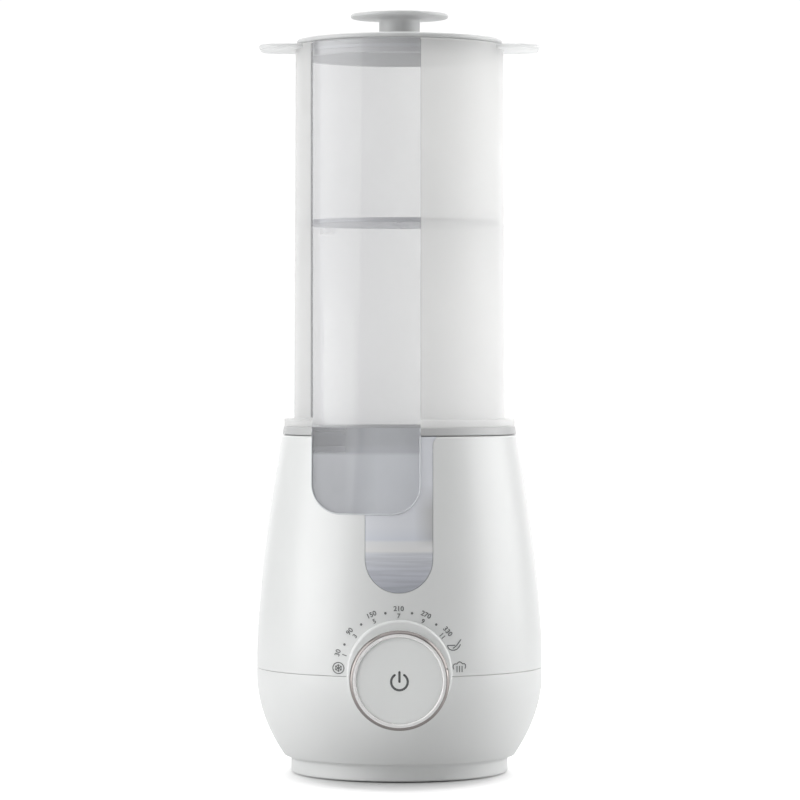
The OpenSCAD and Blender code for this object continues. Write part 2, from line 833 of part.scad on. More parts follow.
housing();
bottom_cover();
trim_ring();
heating_well();
well_gasket();
heater_plate();
heater_element();
thermostat();
temperature_sensor();
thermal_fuse();
bottle_window();
level_window();
well_window();
window_frame();
window_seal();
dial_collar();
dial_scale();
control_board();
board_bracket();
rotary_encoder();
tact_switch();
power_board();
relay();
supply_capacitor();
terminal_block();
heater_leads();
cord_gland();
rubber_feet();
cover_screws();
board_screws();
steam_chamber();
chamber_window();
chamber_seal();
chamber_lid();
lid_knob();
lid_screw();
lid_seal();
accessory_tray();
bottle_rack();
dial_body();
dial_ring();
dial_pointer();
power_button();
power_icon();
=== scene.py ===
"""Bottle warmer with steam chamber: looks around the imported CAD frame, in metres, front along -Y."""
import math

import bpy
import bmesh
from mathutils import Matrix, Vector


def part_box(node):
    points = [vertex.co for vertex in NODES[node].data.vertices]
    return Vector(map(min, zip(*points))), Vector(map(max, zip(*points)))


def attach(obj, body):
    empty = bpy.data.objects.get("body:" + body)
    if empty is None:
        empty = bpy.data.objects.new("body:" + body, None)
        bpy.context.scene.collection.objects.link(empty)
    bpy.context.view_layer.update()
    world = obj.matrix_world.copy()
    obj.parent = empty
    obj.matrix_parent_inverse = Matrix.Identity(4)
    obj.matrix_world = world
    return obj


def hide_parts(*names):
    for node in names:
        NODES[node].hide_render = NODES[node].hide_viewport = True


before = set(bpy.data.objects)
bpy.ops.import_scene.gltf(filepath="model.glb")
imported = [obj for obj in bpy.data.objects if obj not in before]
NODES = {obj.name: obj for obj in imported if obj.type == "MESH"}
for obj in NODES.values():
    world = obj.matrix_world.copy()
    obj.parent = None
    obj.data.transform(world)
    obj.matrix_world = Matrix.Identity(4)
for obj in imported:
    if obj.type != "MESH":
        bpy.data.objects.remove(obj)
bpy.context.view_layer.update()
MM = 0.001


# ---------------- sizes, in millimetres

def low(node):
    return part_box(node)[0] / MM


def high(node):
    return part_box(node)[1] / MM


BODY_R = high("housing").x
BELLY_LOW, BELLY_HIGH = 46.0, 56.0    # the body is widest between these heights
CHEEK_CURVE = 0.0091                  # how fast it narrows below them
SHOULDER_DROP, SHOULDER_POWER = 11.7, 1.52
SEAM_LOW = 49.125                     # top edge of the bottom cover's skin
SEAM_HIGH = 49.275                    # lower edge of the housing
HOUSING_TOP = high("housing").z
WALL = 2.4
DECK_R = 49.4
DECK_T = 2.4
FRONT_REACH = -90.0                   # a cut through the front ends here
SHAFT_HOLE_R, SHAFT_BORE_R = 18.2, 16.7
PANE_T, PANE_GAP = 2.2, 0.15
FOOT_R = 50.4
FOOT_Z = low("bottom_cover").z
WAIST_Z, WAIST_R = 6.3, 2.1
SEAM_EDGE = 0.2
WELL_R = 43.0
WELL_TOP = high("heating_well").z
TRIM_TOP = high("trim_ring").z
TRIM_R = high("trim_ring").x
TRIM_TOP_R = 53.8
SIGHT_LEFT, SIGHT_RIGHT = -40.2, 9.7
SIGHT_LOW, SIGHT_CORNER = 121.7, 13.5
LEVEL_LEFT, LEVEL_RIGHT = -15.6, 15.2
LEVEL_LOW = 86.7
CHAMBER_R, CHAMBER_TAPER, CHAMBER_WALL = 49.0, 0.7, 2.2
CHAMBER_FOOT = TRIM_TOP + 0.05
CHAMBER_TOP = high("steam_chamber").z
FLANGE_TOP = TRIM_TOP + 3.5
FLANGE_R = 53.6
SPIGOT_IN, SPIGOT_OUT, SPIGOT_FOOT = 47.2, 49.4, 159.4
EAR_REACH = high("steam_chamber").x
EAR_WIDTH = 37.0
TRAY_Z = low("accessory_tray").z
TRAY_R = high("accessory_tray").x
RACK_Z = 104.3
RACK_R = high("bottle_rack").x
PLATE_Z = high("heater_plate").z
WELL_FLOOR = low("heating_well").z
RACK_T, RACK_RIM = 1.4, 2.6
LID_R = 47.8
LID_LOW = CHAMBER_TOP + 0.3
LID_HIGH = low("lid_knob").z - 0.05
PLUG_LOW = low("chamber_lid").z
PLUG_R = 45.4
KNOB_TOP = high("lid_knob").z
KNOB_R = high("lid_knob").x
STEM_R = 9.5
DIAL_Z = (low("dial_ring").z + high("dial_ring").z) / 2
DIAL_R = high("dial_ring").x
DIAL_FACE = -low("dial_ring").y
DIAL_BACK = 69.6
RING_CREST_R = 20.6
RING_INNER = 19.4
BUTTON_R = high("power_button").x
BUTTON_FACE = -low("power_button").y
ICON_R = 3.7
ICON_STROKE = 0.5                     # half the width of the power symbol's lines
ICON_Z = low("power_icon").z + ICON_R + ICON_STROKE
COLLAR_R = high("dial_collar").x
COLLAR_Z = (low("dial_collar").z + high("dial_collar").z) / 2
COLLAR_FRONT = -low("dial_collar").y
GLAND_Z = (low("cord_gland").z + high("cord_gland").z) / 2
GLAND_FACE = 65.4
SYMBOL_LINE = 0.42
SCALE_X = -0.35                       # the scale's centre lies a little to the left of the dial's axis
PRINT_T = 0.03                        # half the thickness of the printed marks
PRINT_LIFT = 0.06


def body_radius(z):
    """Outer radius of the egg-shaped body at a height."""
    if z < BELLY_LOW:
        return BODY_R - CHEEK_CURVE * (BELLY_LOW - z) ** 2
    if z < BELLY_HIGH:
        return BODY_R
    return BODY_R - SHOULDER_DROP * ((z - BELLY_HIGH) / 100) ** SHOULDER_POWER


def chamber_radius(z):
    """Outer radius of the steam chamber at a height."""
    return CHAMBER_R - CHAMBER_TAPER * (z - FLANGE_TOP) / (CHAMBER_TOP - FLANGE_TOP)


# ---------------- mesh tools

def smooth(mesh, sharp=40):
    """Smooth shading, with edges sharper than an angle in degrees kept."""
    for poly in mesh.polygons:
        poly.use_smooth = True
    mesh.set_sharp_from_angle(angle=math.radians(sharp))


def add_object(name, data):
    obj = bpy.data.objects.new(name, data)
    bpy.context.scene.collection.objects.link(obj)
    return obj


def finish_mesh(name, bm, sharp=40):
    """Turns a bmesh in millimetres into an object in metres."""
    bmesh.ops.remove_doubles(bm, verts=bm.verts, dist=1e-4)
    bmesh.ops.recalc_face_normals(bm, faces=bm.faces)
    bmesh.ops.scale(bm, vec=(MM, MM, MM), verts=bm.verts)
    mesh = bpy.data.meshes.new(name)
    bm.to_mesh(mesh)
    bm.free()
    smooth(mesh, sharp)
    return add_object(name, mesh)


def around(r, angle):
    """The point at a radius and an angle in degrees."""
    return (r * math.cos(math.radians(angle)), r * math.sin(math.radians(angle)))


def arc(cx, cy, r, a0, a1, count):
    """Points of an arc from angle a0 to a1, in degrees, with both ends."""
    spokes = [around(r, a0 + (a1 - a0) * i / count) for i in range(count + 1)]
    return [(cx + x, cy + y) for x, y in spokes]


def disc(cx, cy, r, count):
    """Points of a whole circle."""
    return arc(cx, cy, r, 0, 360, count)[:-1]


def rounded(points, step=12):
    """A path from (r, z) or (r, z, fillet radius) points, its corners replaced by arcs."""
    path = []
    count = len(points)
    for i, p in enumerate(points):
        fillet = p[2] if len(p) > 2 else 0
        here = Vector(p[:2])
        if fillet <= 0:
            path.append(here)
            continue
        to_last = (Vector(points[i - 1][:2]) - here).normalized()
        to_next = (Vector(points[(i + 1) % count][:2]) - here).normalized()
        half = to_last.angle(to_next) / 2
        if half > math.radians(88):
            path.append(here)
            continue
        cut = fillet / math.tan(half)
        centre = here + (to_last + to_next).normalized() * fillet / math.sin(half)
        a = here + to_last * cut - centre
        b = here + to_next * cut - centre
        sweep = a.angle_signed(b)
        n = max(2, int(abs(math.degrees(sweep)) / step))
        for k in range(n + 1):
            turn = -sweep * k / n
            c, s = math.cos(turn), math.sin(turn)
            path.append(centre + Vector((a.x * c - a.y * s, a.x * s + a.y * c)))
    return path


def skin_rings(bm, rings):
    """Faces between neighbouring rings of vertices, and over both ends."""
    for a, b in zip(rings, rings[1:]):
        for i in range(len(a)):
            k = (i + 1) % len(a)
            bm.faces.new((a[i], a[k], b[k], b[i]))
    bm.faces.new(rings[0])
    bm.faces.new(list(reversed(rings[-1])))


def turned(name, path, segments=192, about="Z", centre=(0, 0)):
    """An object turned from a path."""
    return finish_mesh(name, lathe(path, segments, about, centre))


def skin_path(z0, z1, count, inset=0.0):
    """Points of the body's outline between two heights, moved in by inset."""
    return [(body_radius(z0 + (z1 - z0) * i / count) - inset, z0 + (z1 - z0) * i / count)
            for i in range(count + 1)]


def lathe(path, segments, about="Z", centre=(0, 0), span=None):
    """A bmesh from a closed (r, h) path turned about Z, or about a line along Y with h forwards."""
    bm = bmesh.new()
    full = span is None
    a0, a1 = span or (0, 360)
    turns = segments if full else segments + 1
    rings = []
    for j in range(turns):
        ring = []
        for r, h in path:
            u, v = around(r, a0 + (a1 - a0) * j / segments)
            if about == "Z":
                ring.append(bm.verts.new((u + centre[0], v + centre[1], h)))
            else:
                ring.append(bm.verts.new((u + centre[0], -h, v + centre[1])))
        rings.append(ring)
    n = len(path)
    for j in range(segments):
        a, b = rings[j], rings[(j + 1) % turns]
        for i in range(n):
            k = (i + 1) % n
            on_axis = [abs(path[p][0]) < 1e-6 for p in (i, k)]
            if all(on_axis):
                continue
            corners = [a[i], a[k], b[k], b[i]]
            if any(on_axis):
                corners.pop(3 if on_axis[0] else 2)
            bm.faces.new(corners)
    if not full:
        bm.faces.new(rings[0])
        bm.faces.new(list(reversed(rings[-1])))
    return bm


def sight_outline(grow=0.0, top=175.0):
    """The tall window, as seen from the front, counter-clockwise from its top right."""
    r = SIGHT_CORNER + grow
    x0, x1 = SIGHT_LEFT + SIGHT_CORNER, SIGHT_RIGHT - SIGHT_CORNER
    z = SIGHT_LOW + SIGHT_CORNER
    return ([(SIGHT_RIGHT + grow, top), (SIGHT_LEFT - grow, top)]
            + arc(x0, z, r, 180, 270, 24) + arc(x1, z, r, 270, 360, 24))


def level_outline(grow=0.0):
    """The water level window: a slot with a round foot and a flared top right corner."""
    r = (LEVEL_RIGHT - LEVEL_LEFT) / 2
    x, z = LEVEL_LEFT + r, LEVEL_LOW + r
    flare, top = 1.8, 157.0
    return ([(LEVEL_RIGHT + grow + flare, top), (LEVEL_LEFT - grow, top)]
            + arc(x, z, r + grow, 180, 360, 48)
            + [(LEVEL_RIGHT + grow, HOUSING_TOP - 2.7), (LEVEL_RIGHT + grow + flare, HOUSING_TOP)])


def prism(outline, start, end, axis="Y"):
    """A bar with the given outline, running along Y (outline in x and z) or Z (in x and y)."""
    bm = bmesh.new()
    skin_rings(bm, [[bm.verts.new((u, at, v) if axis == "Y" else (u, v, at)) for u, v in outline]
                    for at in (start, end)])
    return bm


def front_bar(outline):
    """A bar with the given front view, from the axis to beyond the front."""
    return prism(outline, 0, FRONT_REACH)


def dial_hole(r, behind=-50):
    """The round bar that cuts a hole on the dial's axis."""
    return prism(disc(0, DIAL_Z, r, 64), behind, FRONT_REACH)


def merged(parts):
    """One bmesh that holds several."""
    bm = bmesh.new()
    for part in parts:
        mesh = bpy.data.meshes.new("part")
        part.to_mesh(mesh)
        part.free()
        bm.from_mesh(mesh)
        bpy.data.meshes.remove(mesh)
    return bm


def combine(obj, bm, how="DIFFERENCE"):
    """Cuts, joins or intersects an object with a bmesh in millimetres, and applies the result."""
    tool = finish_mesh("tool", bm)
    mod = obj.modifiers.new("combine", "BOOLEAN")
    mod.operation = how
    mod.solver = "EXACT"
    mod.object = tool
    depsgraph = bpy.context.evaluated_depsgraph_get()
    result = bpy.data.meshes.new_from_object(obj.evaluated_get(depsgraph))
    obj.modifiers.clear()
    old = obj.data
    obj.data = result
    bpy.data.meshes.remove(old)
    bpy.data.objects.remove(tool)
    result.name = obj.name
    smooth(result)


def place(obj, body, material, stands_for=()):
    """Gives a piece its material, its body and the CAD nodes that it replaces."""
    obj.data.materials.clear()
    obj.data.materials.append(material)
    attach(obj, body)
    if stands_for:
        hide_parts(*stands_for)


# ---------------- materials

def new_material(name):
    mat = bpy.data.materials.new(name)
    mat.use_nodes = True
    tree = mat.node_tree
    return mat, tree, tree.nodes["Principled BSDF"]


def position(tree):
    """The point on the part, in metres."""
    return tree.nodes.new("ShaderNodeTexCoord").outputs["Object"]


def stretched(tree, scale, shift=(0, 0, 0)):
    shape = tree.nodes.new("ShaderNodeMapping")
    shape.inputs["Location"].default_value = shift
    shape.inputs["Scale"].default_value = scale
    tree.links.new(position(tree), shape.inputs["Vector"])
    return shape.outputs["Vector"]


def noise(tree, scale, detail, rough=0.55, where=None):
    tex = tree.nodes.new("ShaderNodeTexNoise")
    tex.inputs["Scale"].default_value = scale
    tex.inputs["Detail"].default_value = detail
    tex.inputs["Roughness"].default_value = rough
    tree.links.new(where or position(tree), tex.inputs["Vector"])
    return tex.outputs["Fac"]


def ramp(tree, fac, stops):
    """Colours along a value; a stop may be a colour or a grey."""
    node = tree.nodes.new("ShaderNodeValToRGB")
    while len(node.color_ramp.elements) < len(stops):
        node.color_ramp.elements.new(0.5)
    for element, (at, colour) in zip(node.color_ramp.elements, stops):
        element.position = at
        element.color = (*colour, 1) if isinstance(colour, tuple) else (colour, colour, colour, 1)
    tree.links.new(fac, node.inputs["Fac"])
    return node.outputs["Color"]


def length(tree, vector):
    node = tree.nodes.new("ShaderNodeVectorMath")
    node.operation = "LENGTH"
    tree.links.new(vector, node.inputs[0])
    return node.outputs["Value"]


def mixed(tree, amount, first, second):
    """Two shaders mixed; the amount is a number or an output."""
    mix = tree.nodes.new("ShaderNodeMixShader")
    if isinstance(amount, float):
        mix.inputs["Fac"].default_value = amount
    else:
        tree.links.new(amount, mix.inputs["Fac"])
    tree.links.new(first, mix.inputs[1])
    tree.links.new(second, mix.inputs[2])
    return mix.outputs["Shader"]


def scaled(colour, k):
    return tuple(min(1.0, c * k) for c in colour)


def varied(tree, shader, pattern, least, most):
    """Roughness that follows a pattern."""
    tree.links.new(ramp(tree, pattern, [(0.3, least), (0.7, most)]), shader.inputs["Roughness"])


def add_bump(tree, shader, height, strength, distance):
    bump = tree.nodes.new("ShaderNodeBump")
    bump.inputs["Strength"].default_value = strength
    bump.inputs["Distance"].default_value = distance
    tree.links.new(height, bump.inputs["Height"])
    tree.links.new(bump.outputs["Normal"], shader.inputs["Normal"])


def plastic(name, colour, roughness, grain=0.25, mottle=0.03, spread=0.06, gloss=0.5):
    """Moulded plastic: faint mottling, varied roughness and a fine spark-eroded grain."""
    mat, tree, shader = new_material(name)
    tint = ramp(tree, noise(tree, 38.0, 4.0),
                [(0.3, scaled(colour, 1 - mottle)), (0.7, scaled(colour, 1 + mottle))])
    tree.links.new(tint, shader.inputs["Base Color"])
    varied(tree, shader, noise(tree, 210.0, 3.0), roughness - spread, roughness + spread)
    add_bump(tree, shader, noise(tree, 2600.0, 2.0), grain, 4e-5)
    shader.inputs["Specular IOR Level"].default_value = gloss
    return mat


def metal(name, colour, roughness, brushed=True):
    """Metal with fine brush lines or a faint polish haze."""
    mat, tree, shader = new_material(name)
    shader.inputs["Metallic"].default_value = 1.0
    lines = noise(tree, 120.0, 5.0, 0.5, stretched(tree, (1, 1, 40) if brushed else (1, 1, 1)))
    tint = ramp(tree, lines, [(0.25, scaled(colour, 0.93)), (0.75, scaled(colour, 1.04))])
    tree.links.new(tint, shader.inputs["Base Color"])
    varied(tree, shader, lines, roughness * 0.75, roughness * 1.3)
    add_bump(tree, shader, lines, 0.1, 2e-5)
    return mat


def spun_metal(name, colour, roughness):
    """Sheet metal with fine turning rings about the vertical axis."""
    mat, tree, shader = new_material(name)
    shader.inputs["Metallic"].default_value = 1.0
    tex = tree.nodes.new("ShaderNodeTexNoise")
    tex.noise_dimensions = "1D"
    tex.inputs["Scale"].default_value = 1800.0
    tex.inputs["Detail"].default_value = 2.0
    tree.links.new(length(tree, stretched(tree, (1, 1, 0))), tex.inputs["W"])
    rings = tex.outputs["Fac"]
    tint = ramp(tree, noise(tree, 60.0, 4.0), [(0.3, scaled(colour, 0.9)), (0.7, scaled(colour, 1.05))])
    tree.links.new(tint, shader.inputs["Base Color"])
    varied(tree, shader, rings, roughness * 0.8, roughness * 1.25)
    add_bump(tree, shader, rings, 0.25, 3e-5)
    return mat


def along(tree, axis, start, end, stops):
    """A ramp along one axis of the part, from start to end in millimetres."""
    axes = tree.nodes.new("ShaderNodeSeparateXYZ")
    tree.links.new(position(tree), axes.inputs["Vector"])
    span = tree.nodes.new("ShaderNodeMapRange")
    span.inputs["From Min"].default_value = start * MM
    span.inputs["From Max"].default_value = end * MM
    tree.links.new(axes.outputs[axis], span.inputs["Value"])
    return ramp(tree, span.outputs["Result"], stops)


def multiplied(tree, colour, factor, reach=None):
    """A colour times a factor, only as far as reach says."""
    mix = tree.nodes.new("ShaderNodeMix")
    mix.data_type = "RGBA"
    mix.blend_type = "MULTIPLY"
    mix.inputs["Factor"].default_value = 1.0
    if reach:
        tree.links.new(reach, mix.inputs["Factor"])
    tree.links.new(colour, mix.inputs["A"])
    tree.links.new(factor, mix.inputs["B"])
    return mix.outputs["Result"]


def frosted(name, colour, clear=0.3):
    """Frosted sheet: partly see-through, lit through, with painted shade that darkens it a little on its
    left, finely etched.
    """
    mat, tree, shader = new_material(name)
    tint = ramp(tree, noise(tree, 45.0, 4.0), [(0.3, scaled(colour, 0.985)), (0.7, colour)])
    # painted shade: the colour is darkened a little towards the left, most about 20 mm left of the axis
    painted_shade_tone = multiplied(tree, tint, along(tree, "X", -50, 50, [(0.05, 0.94), (0.3, 0.91), (0.55, 1.0)]))
    tree.links.new(painted_shade_tone, shader.inputs["Base Color"])
    varied(tree, shader, noise(tree, 240.0, 3.0), 0.45, 0.55)
    add_bump(tree, shader, noise(tree, 3000.0, 2.0), 0.3, 4e-5)
    through = tree.nodes.new("ShaderNodeBsdfTranslucent")
    tree.links.new(painted_shade_tone, through.inputs["Color"])
    glowing = mixed(tree, 0.6, shader.outputs["BSDF"], through.outputs["BSDF"])
    see = tree.nodes.new("ShaderNodeBsdfTransparent")
    tree.links.new(mixed(tree, clear, glowing, see.outputs["BSDF"]),
                   tree.nodes["Material Output"].inputs["Surface"])
    return mat


def clear_plastic(name, colour, face, edge=0.5, roughness=0.06):
    """Polished clear sheet: its alpha rises where it is seen edge on, with a faint moulding haze."""
    mat, tree, shader = new_material(name)
    haze = noise(tree, 90.0, 4.0)
    tint = ramp(tree, haze, [(0.3, scaled(colour, 0.97)), (0.7, colour)])
    tree.links.new(tint, shader.inputs["Base Color"])
    varied(tree, shader, haze, roughness * 0.7, roughness * 1.5)
    facing = tree.nodes.new("ShaderNodeLayerWeight")
    facing.inputs["Blend"].default_value = 0.35
    alpha = ramp(tree, facing.outputs["Facing"], [(0.0, face), (0.65, face * 1.6), (1.0, edge)])
    tree.links.new(alpha, shader.inputs["Alpha"])
    return mat


def sight_plastic(name):
    """The tall window's sheet: painted shade darkens it towards its left, and a dim band runs along its top.
    """
    mat = clear_plastic(name, (0.94, 0.96, 1.0), face=0.45, edge=0.6)
    tree = mat.node_tree
    shader = tree.nodes["Principled BSDF"]
    colour = shader.inputs["Base Color"].links[0].from_socket
    # painted shade: the sheet darkens towards the left of the window
    wall = along(tree, "X", -40, 10, [(0.0, 0.52), (0.3, 0.62), (0.6, 0.95), (0.8, 1.0)])
    band = along(tree, "Z", 140, 160, [(0.42, 1.0), (0.5, 0.5)])
    reach = along(tree, "X", -40, 10, [(0.15, 1.0), (0.5, 0.45)])
    # the colour with the painted shade on its left and the dim band along its top
    rim = multiplied(tree, multiplied(tree, colour, wall), band, reach)
    tree.links.new(rim, shader.inputs["Base Color"])
    return mat


def streaks(tree):
    """Fine wavy lines, stretched sideways."""
    waves = noise(tree, 1.0, 3.0, 0.5, stretched(tree, (30, 30, 700)))
    return ramp(tree, waves, [(0.4, 0.86), (0.6, 1.0)])


def level_plastic(name):
    """The level window's milky sheet: painted shade darkens it towards the bottom and at its right edge, with
    a light line at the full level and fine wavy streaks below it.
    """
    mat = clear_plastic(name, (0.96, 0.975, 1.0), face=0.8, edge=0.85, roughness=0.1)
    tree = mat.node_tree
    top = LEVEL_LOW + 30
    # painted shade: darker towards the bottom of the window, up to a light line at the full level
    shade = along(tree, "Z", LEVEL_LOW, top, [
        (0.0, (0.56, 0.58, 0.64)), (0.3, (0.72, 0.74, 0.81)), (0.59, (0.86, 0.88, 0.93)), (0.63, 1.0),
        (0.76, (0.97, 0.98, 1.0)), (0.8, (0.87, 0.9, 0.97)), (1.0, (0.93, 0.95, 1.0))])
    below = along(tree, "Z", LEVEL_LOW, top, [(0.58, 1.0), (0.62, 0.0)])
    # below the light line: the painted shade with fine wavy streaks
    water = multiplied(tree, shade, streaks(tree), below)
    # painted shade where the well's inner wall is seen: darker towards the right edge
    wall = along(tree, "X", LEVEL_LEFT, LEVEL_RIGHT, [(0.72, 1.0), (0.97, (0.76, 0.75, 0.72))])
    reach = along(tree, "Z", 105, 137, [(0.06, 0.0), (0.2, 1.0), (0.6, 1.0), (0.95, 0.0)])
    final = multiplied(tree, water, wall, reach)
    tree.links.new(final, tree.nodes["Principled BSDF"].inputs["Base Color"])
    return mat


WHITE = plastic("white_shell", (0.78, 0.79, 0.785), 0.34, grain=0.15, mottle=0.006, spread=0.03, gloss=0.6)
TRIM = plastic("trim_grey", (0.53, 0.535, 0.535), 0.42, mottle=0.02)
WELL = plastic("well_coating", (0.88, 0.89, 0.93), 0.36, mottle=0.01)
PLATE = spun_metal("plate_steel", (0.62, 0.63, 0.66), 0.28)
ELEMENT = metal("element_steel", (0.42, 0.43, 0.44), 0.4)
BLACK = plastic("black_plastic", (0.03, 0.03, 0.033), 0.5)
BRASS = metal("sensor_brass", (0.78, 0.6, 0.3), 0.25)
CERAMIC = plastic("fuse_ceramic", (0.62, 0.58, 0.5), 0.6)
CLEAR = clear_plastic("clear_window", (0.80, 0.815, 0.88), face=0.18)
CHAMBER_CLEAR = clear_plastic("chamber_window", (0.78, 0.785, 0.81), face=0.2)
MILKY = sight_plastic("bottle_window")
TINTED = level_plastic("tinted_window")
BEAD = clear_plastic("window_bead", (0.9, 0.92, 0.95), face=0.55, edge=0.85, roughness=0.12)
# painted shade: dark strips along the chamber window's edges
SEAM_SHADE = clear_plastic("window_seam_shade", (0.32, 0.32, 0.33), face=0.34, edge=0.6, roughness=0.2)
FRAME = plastic("frame_plastic", (0.58, 0.59, 0.64), 0.45)
SILICONE = plastic("seal_silicone", (0.5, 0.51, 0.54), 0.55)
PRINT = plastic("scale_print", (0.13, 0.135, 0.135), 0.5)
SCALE_PRINT = plastic("scale_ink", (0.16, 0.165, 0.165), 0.55)
BOARD = plastic("board_green", (0.03, 0.16, 0.07), 0.35, mottle=0.1)
BRACKET = plastic("bracket_plastic", (0.62, 0.62, 0.58), 0.5)
RELAY = plastic("relay_blue", (0.03, 0.1, 0.38), 0.3)
SLEEVE = plastic("capacitor_sleeve", (0.03, 0.035, 0.045), 0.25)
TERMINAL = plastic("terminal_green", (0.05, 0.22, 0.09), 0.4)
LEAD = plastic("lead_sleeve", (0.5, 0.05, 0.03), 0.5)
GLAND = plastic("gland_rubber", (0.56, 0.57, 0.57), 0.6)
FOOT = plastic("foot_rubber", (0.08, 0.08, 0.085), 0.75)
SCREW = metal("screw_steel", (0.55, 0.56, 0.58), 0.3, brushed=False)
FROSTED = frosted("frosted_plastic", (0.99, 0.99, 0.985))
EAR = frosted("ear_plastic", (0.88, 0.885, 0.885), clear=0.22)
LID = plastic("lid_plastic", (0.64, 0.645, 0.645), 0.42, mottle=0.01)
TRAY = plastic("tray_plastic", (0.52, 0.53, 0.55), 0.45, mottle=0.02)
RACK = plastic("rack_plastic", (0.84, 0.85, 0.88), 0.4, mottle=0.01)
DIAL = plastic("dial_plastic", (0.92, 0.935, 0.925), 0.42, mottle=0.008)
RING = metal("dial_metal", (0.36, 0.333, 0.322), 0.4, brushed=False)
LIP = plastic("dial_lip_white", (0.97, 0.96, 0.955), 0.25, grain=0.1, mottle=0.008, gloss=0.9)
SEAL = plastic("seal_clear", (0.7, 0.71, 0.73), 0.5)


# ---------------- base

def make_housing():
    deck = HOUSING_TOP - DECK_T
    edge = 0.7
    seam_r = body_radius(SEAM_HIGH) - SEAM_EDGE
    path = ([(seam_r, SEAM_HIGH)]
            + arc(seam_r, SEAM_HIGH + SEAM_EDGE, SEAM_EDGE, -75, -8, 4)
            + skin_path(SEAM_HIGH + SEAM_EDGE, HOUSING_TOP - edge, 72)
            + arc(body_radius(HOUSING_TOP) - edge, HOUSING_TOP - edge, edge, 8, 90, 7)
            + [(DECK_R, HOUSING_TOP), (DECK_R, deck)]
            + skin_path(SEAM_HIGH, deck, 24, WALL)[::-1])
    obj = turned("housing_shell", path, 256)
    combine(obj, front_bar(sight_outline()))
    combine(obj, front_bar(level_outline()))
    combine(obj, dial_hole(SHAFT_HOLE_R))
    place(obj, "base", WHITE, ["housing"])


def cover_path():
    """The bottom cover's section: floor, foot rim, waist, skin, and the tongue inside the seam."""
    under, floor, rim = 3.0, 5.4, 4.4
    seam_r = body_radius(SEAM_LOW) - SEAM_EDGE
    tongue = BODY_R - WALL - 0.15
    tongue_t, tongue_top = 1.5, SEAM_LOW + 3.5
    tongue_foot, wall_top = 44.5, 42.8
    return ([(0, under), (FOOT_R - rim, under), (FOOT_R - rim, FOOT_Z + 0.5), (FOOT_R - rim + 0.5, FOOT_Z)]
            + arc(FOOT_R - 1, FOOT_Z + 1, 1, -90, 0, 8)
            + arc(FOOT_R + WAIST_R, WAIST_Z, WAIST_R, 180, 104, 8)
            + skin_path(WAIST_Z + 2.3, SEAM_LOW - SEAM_EDGE, 48)
            + arc(seam_r, SEAM_LOW - SEAM_EDGE, SEAM_EDGE, 8, 90, 4)
            + [(tongue, SEAM_LOW), (tongue, tongue_top), (tongue - tongue_t, tongue_top),
               (tongue - tongue_t, tongue_foot)]
            + skin_path(WAIST_Z + 4.2, wall_top, 16, WALL)[::-1]
            + [(FOOT_R - 0.3, WAIST_Z + 2.4), (FOOT_R - 1.1, WAIST_Z + 0.8),
               (FOOT_R - 1.1, floor), (0, floor)])


def make_bottom_cover():
    obj = turned("bottom_cover_shell", cover_path(), 256)
    combine(obj, dial_hole(SHAFT_HOLE_R))
    boss_r, boss_foot, bore_r = 8.0, -56.0, 5.1
    boss = rounded([(0, boss_foot), (boss_r, boss_foot), (boss_r, -GLAND_FACE, 0.7), (0, -GLAND_FACE)])
    combine(obj, lathe(boss, 64, "Y", (0, GLAND_Z)), "UNION")
    combine(obj, lathe([(0, -50), (bore_r, -50), (bore_r, -80), (0, -80)], 64, "Y", (0, GLAND_Z)))
    screw_circle, head_r, head_z, shank_r, shank_z = 43.0, 3.7, 5.0, 1.8, 6.0
    recess = [(0, 2), (head_r, 2), (head_r, head_z), (shank_r, head_z), (shank_r, shank_z), (0, shank_z)]
    for a in range(45, 360, 90):
        combine(obj, lathe(recess, 32, "Z", around(screw_circle, a)))
    place(obj, "base", WHITE, ["bottom_cover"])


def make_trim_ring():
    step_r = DECK_R - 0.2
    rest = HOUSING_TOP + 0.05
    foot = WELL_TOP + 0.2
    bore, lip, seat, seat_z = 45.0, 46.6, 50.2, 158.2
    path = rounded([
        (bore, foot, 0.3), (lip, foot, 0.3), (lip, foot + 3), (step_r, foot + 3), (step_r, rest),
        (step_r + 2.4, rest), (step_r + 2.4, rest + 0.35), (TRIM_R, rest + 0.35, 0.35),
        (TRIM_TOP_R, TRIM_TOP, 0.5), (seat, TRIM_TOP, 0.4), (seat, seat_z, 0.5), (lip, seat_z, 0.5),
        (lip, TRIM_TOP, 0.4), (bore, TRIM_TOP, 0.4)])
    obj = turned("trim_ring_moulding", path, 256)
    combine(obj, front_bar(sight_outline()))
    place(obj, "base", TRIM, ["trim_ring"])


def make_well():
    wall, hole_r, flange_r = 1.5, 36.0, 47.0
    r_out = WELL_R + wall
    path = rounded([
        (hole_r, WELL_FLOOR), (r_out, WELL_FLOOR, 3), (r_out, WELL_TOP - wall), (flange_r, WELL_TOP - wall),
        (flange_r, WELL_TOP, 0.4), (WELL_R, WELL_TOP, 1.0), (WELL_R, WELL_FLOOR + wall, 2.5),
        (hole_r, WELL_FLOOR + wall)])
    obj = turned("heating_well_cup", path)
    combine(obj, front_bar(sight_outline()))
    combine(obj, front_bar(level_outline()))
    place(obj, "base", WELL, ["heating_well"])


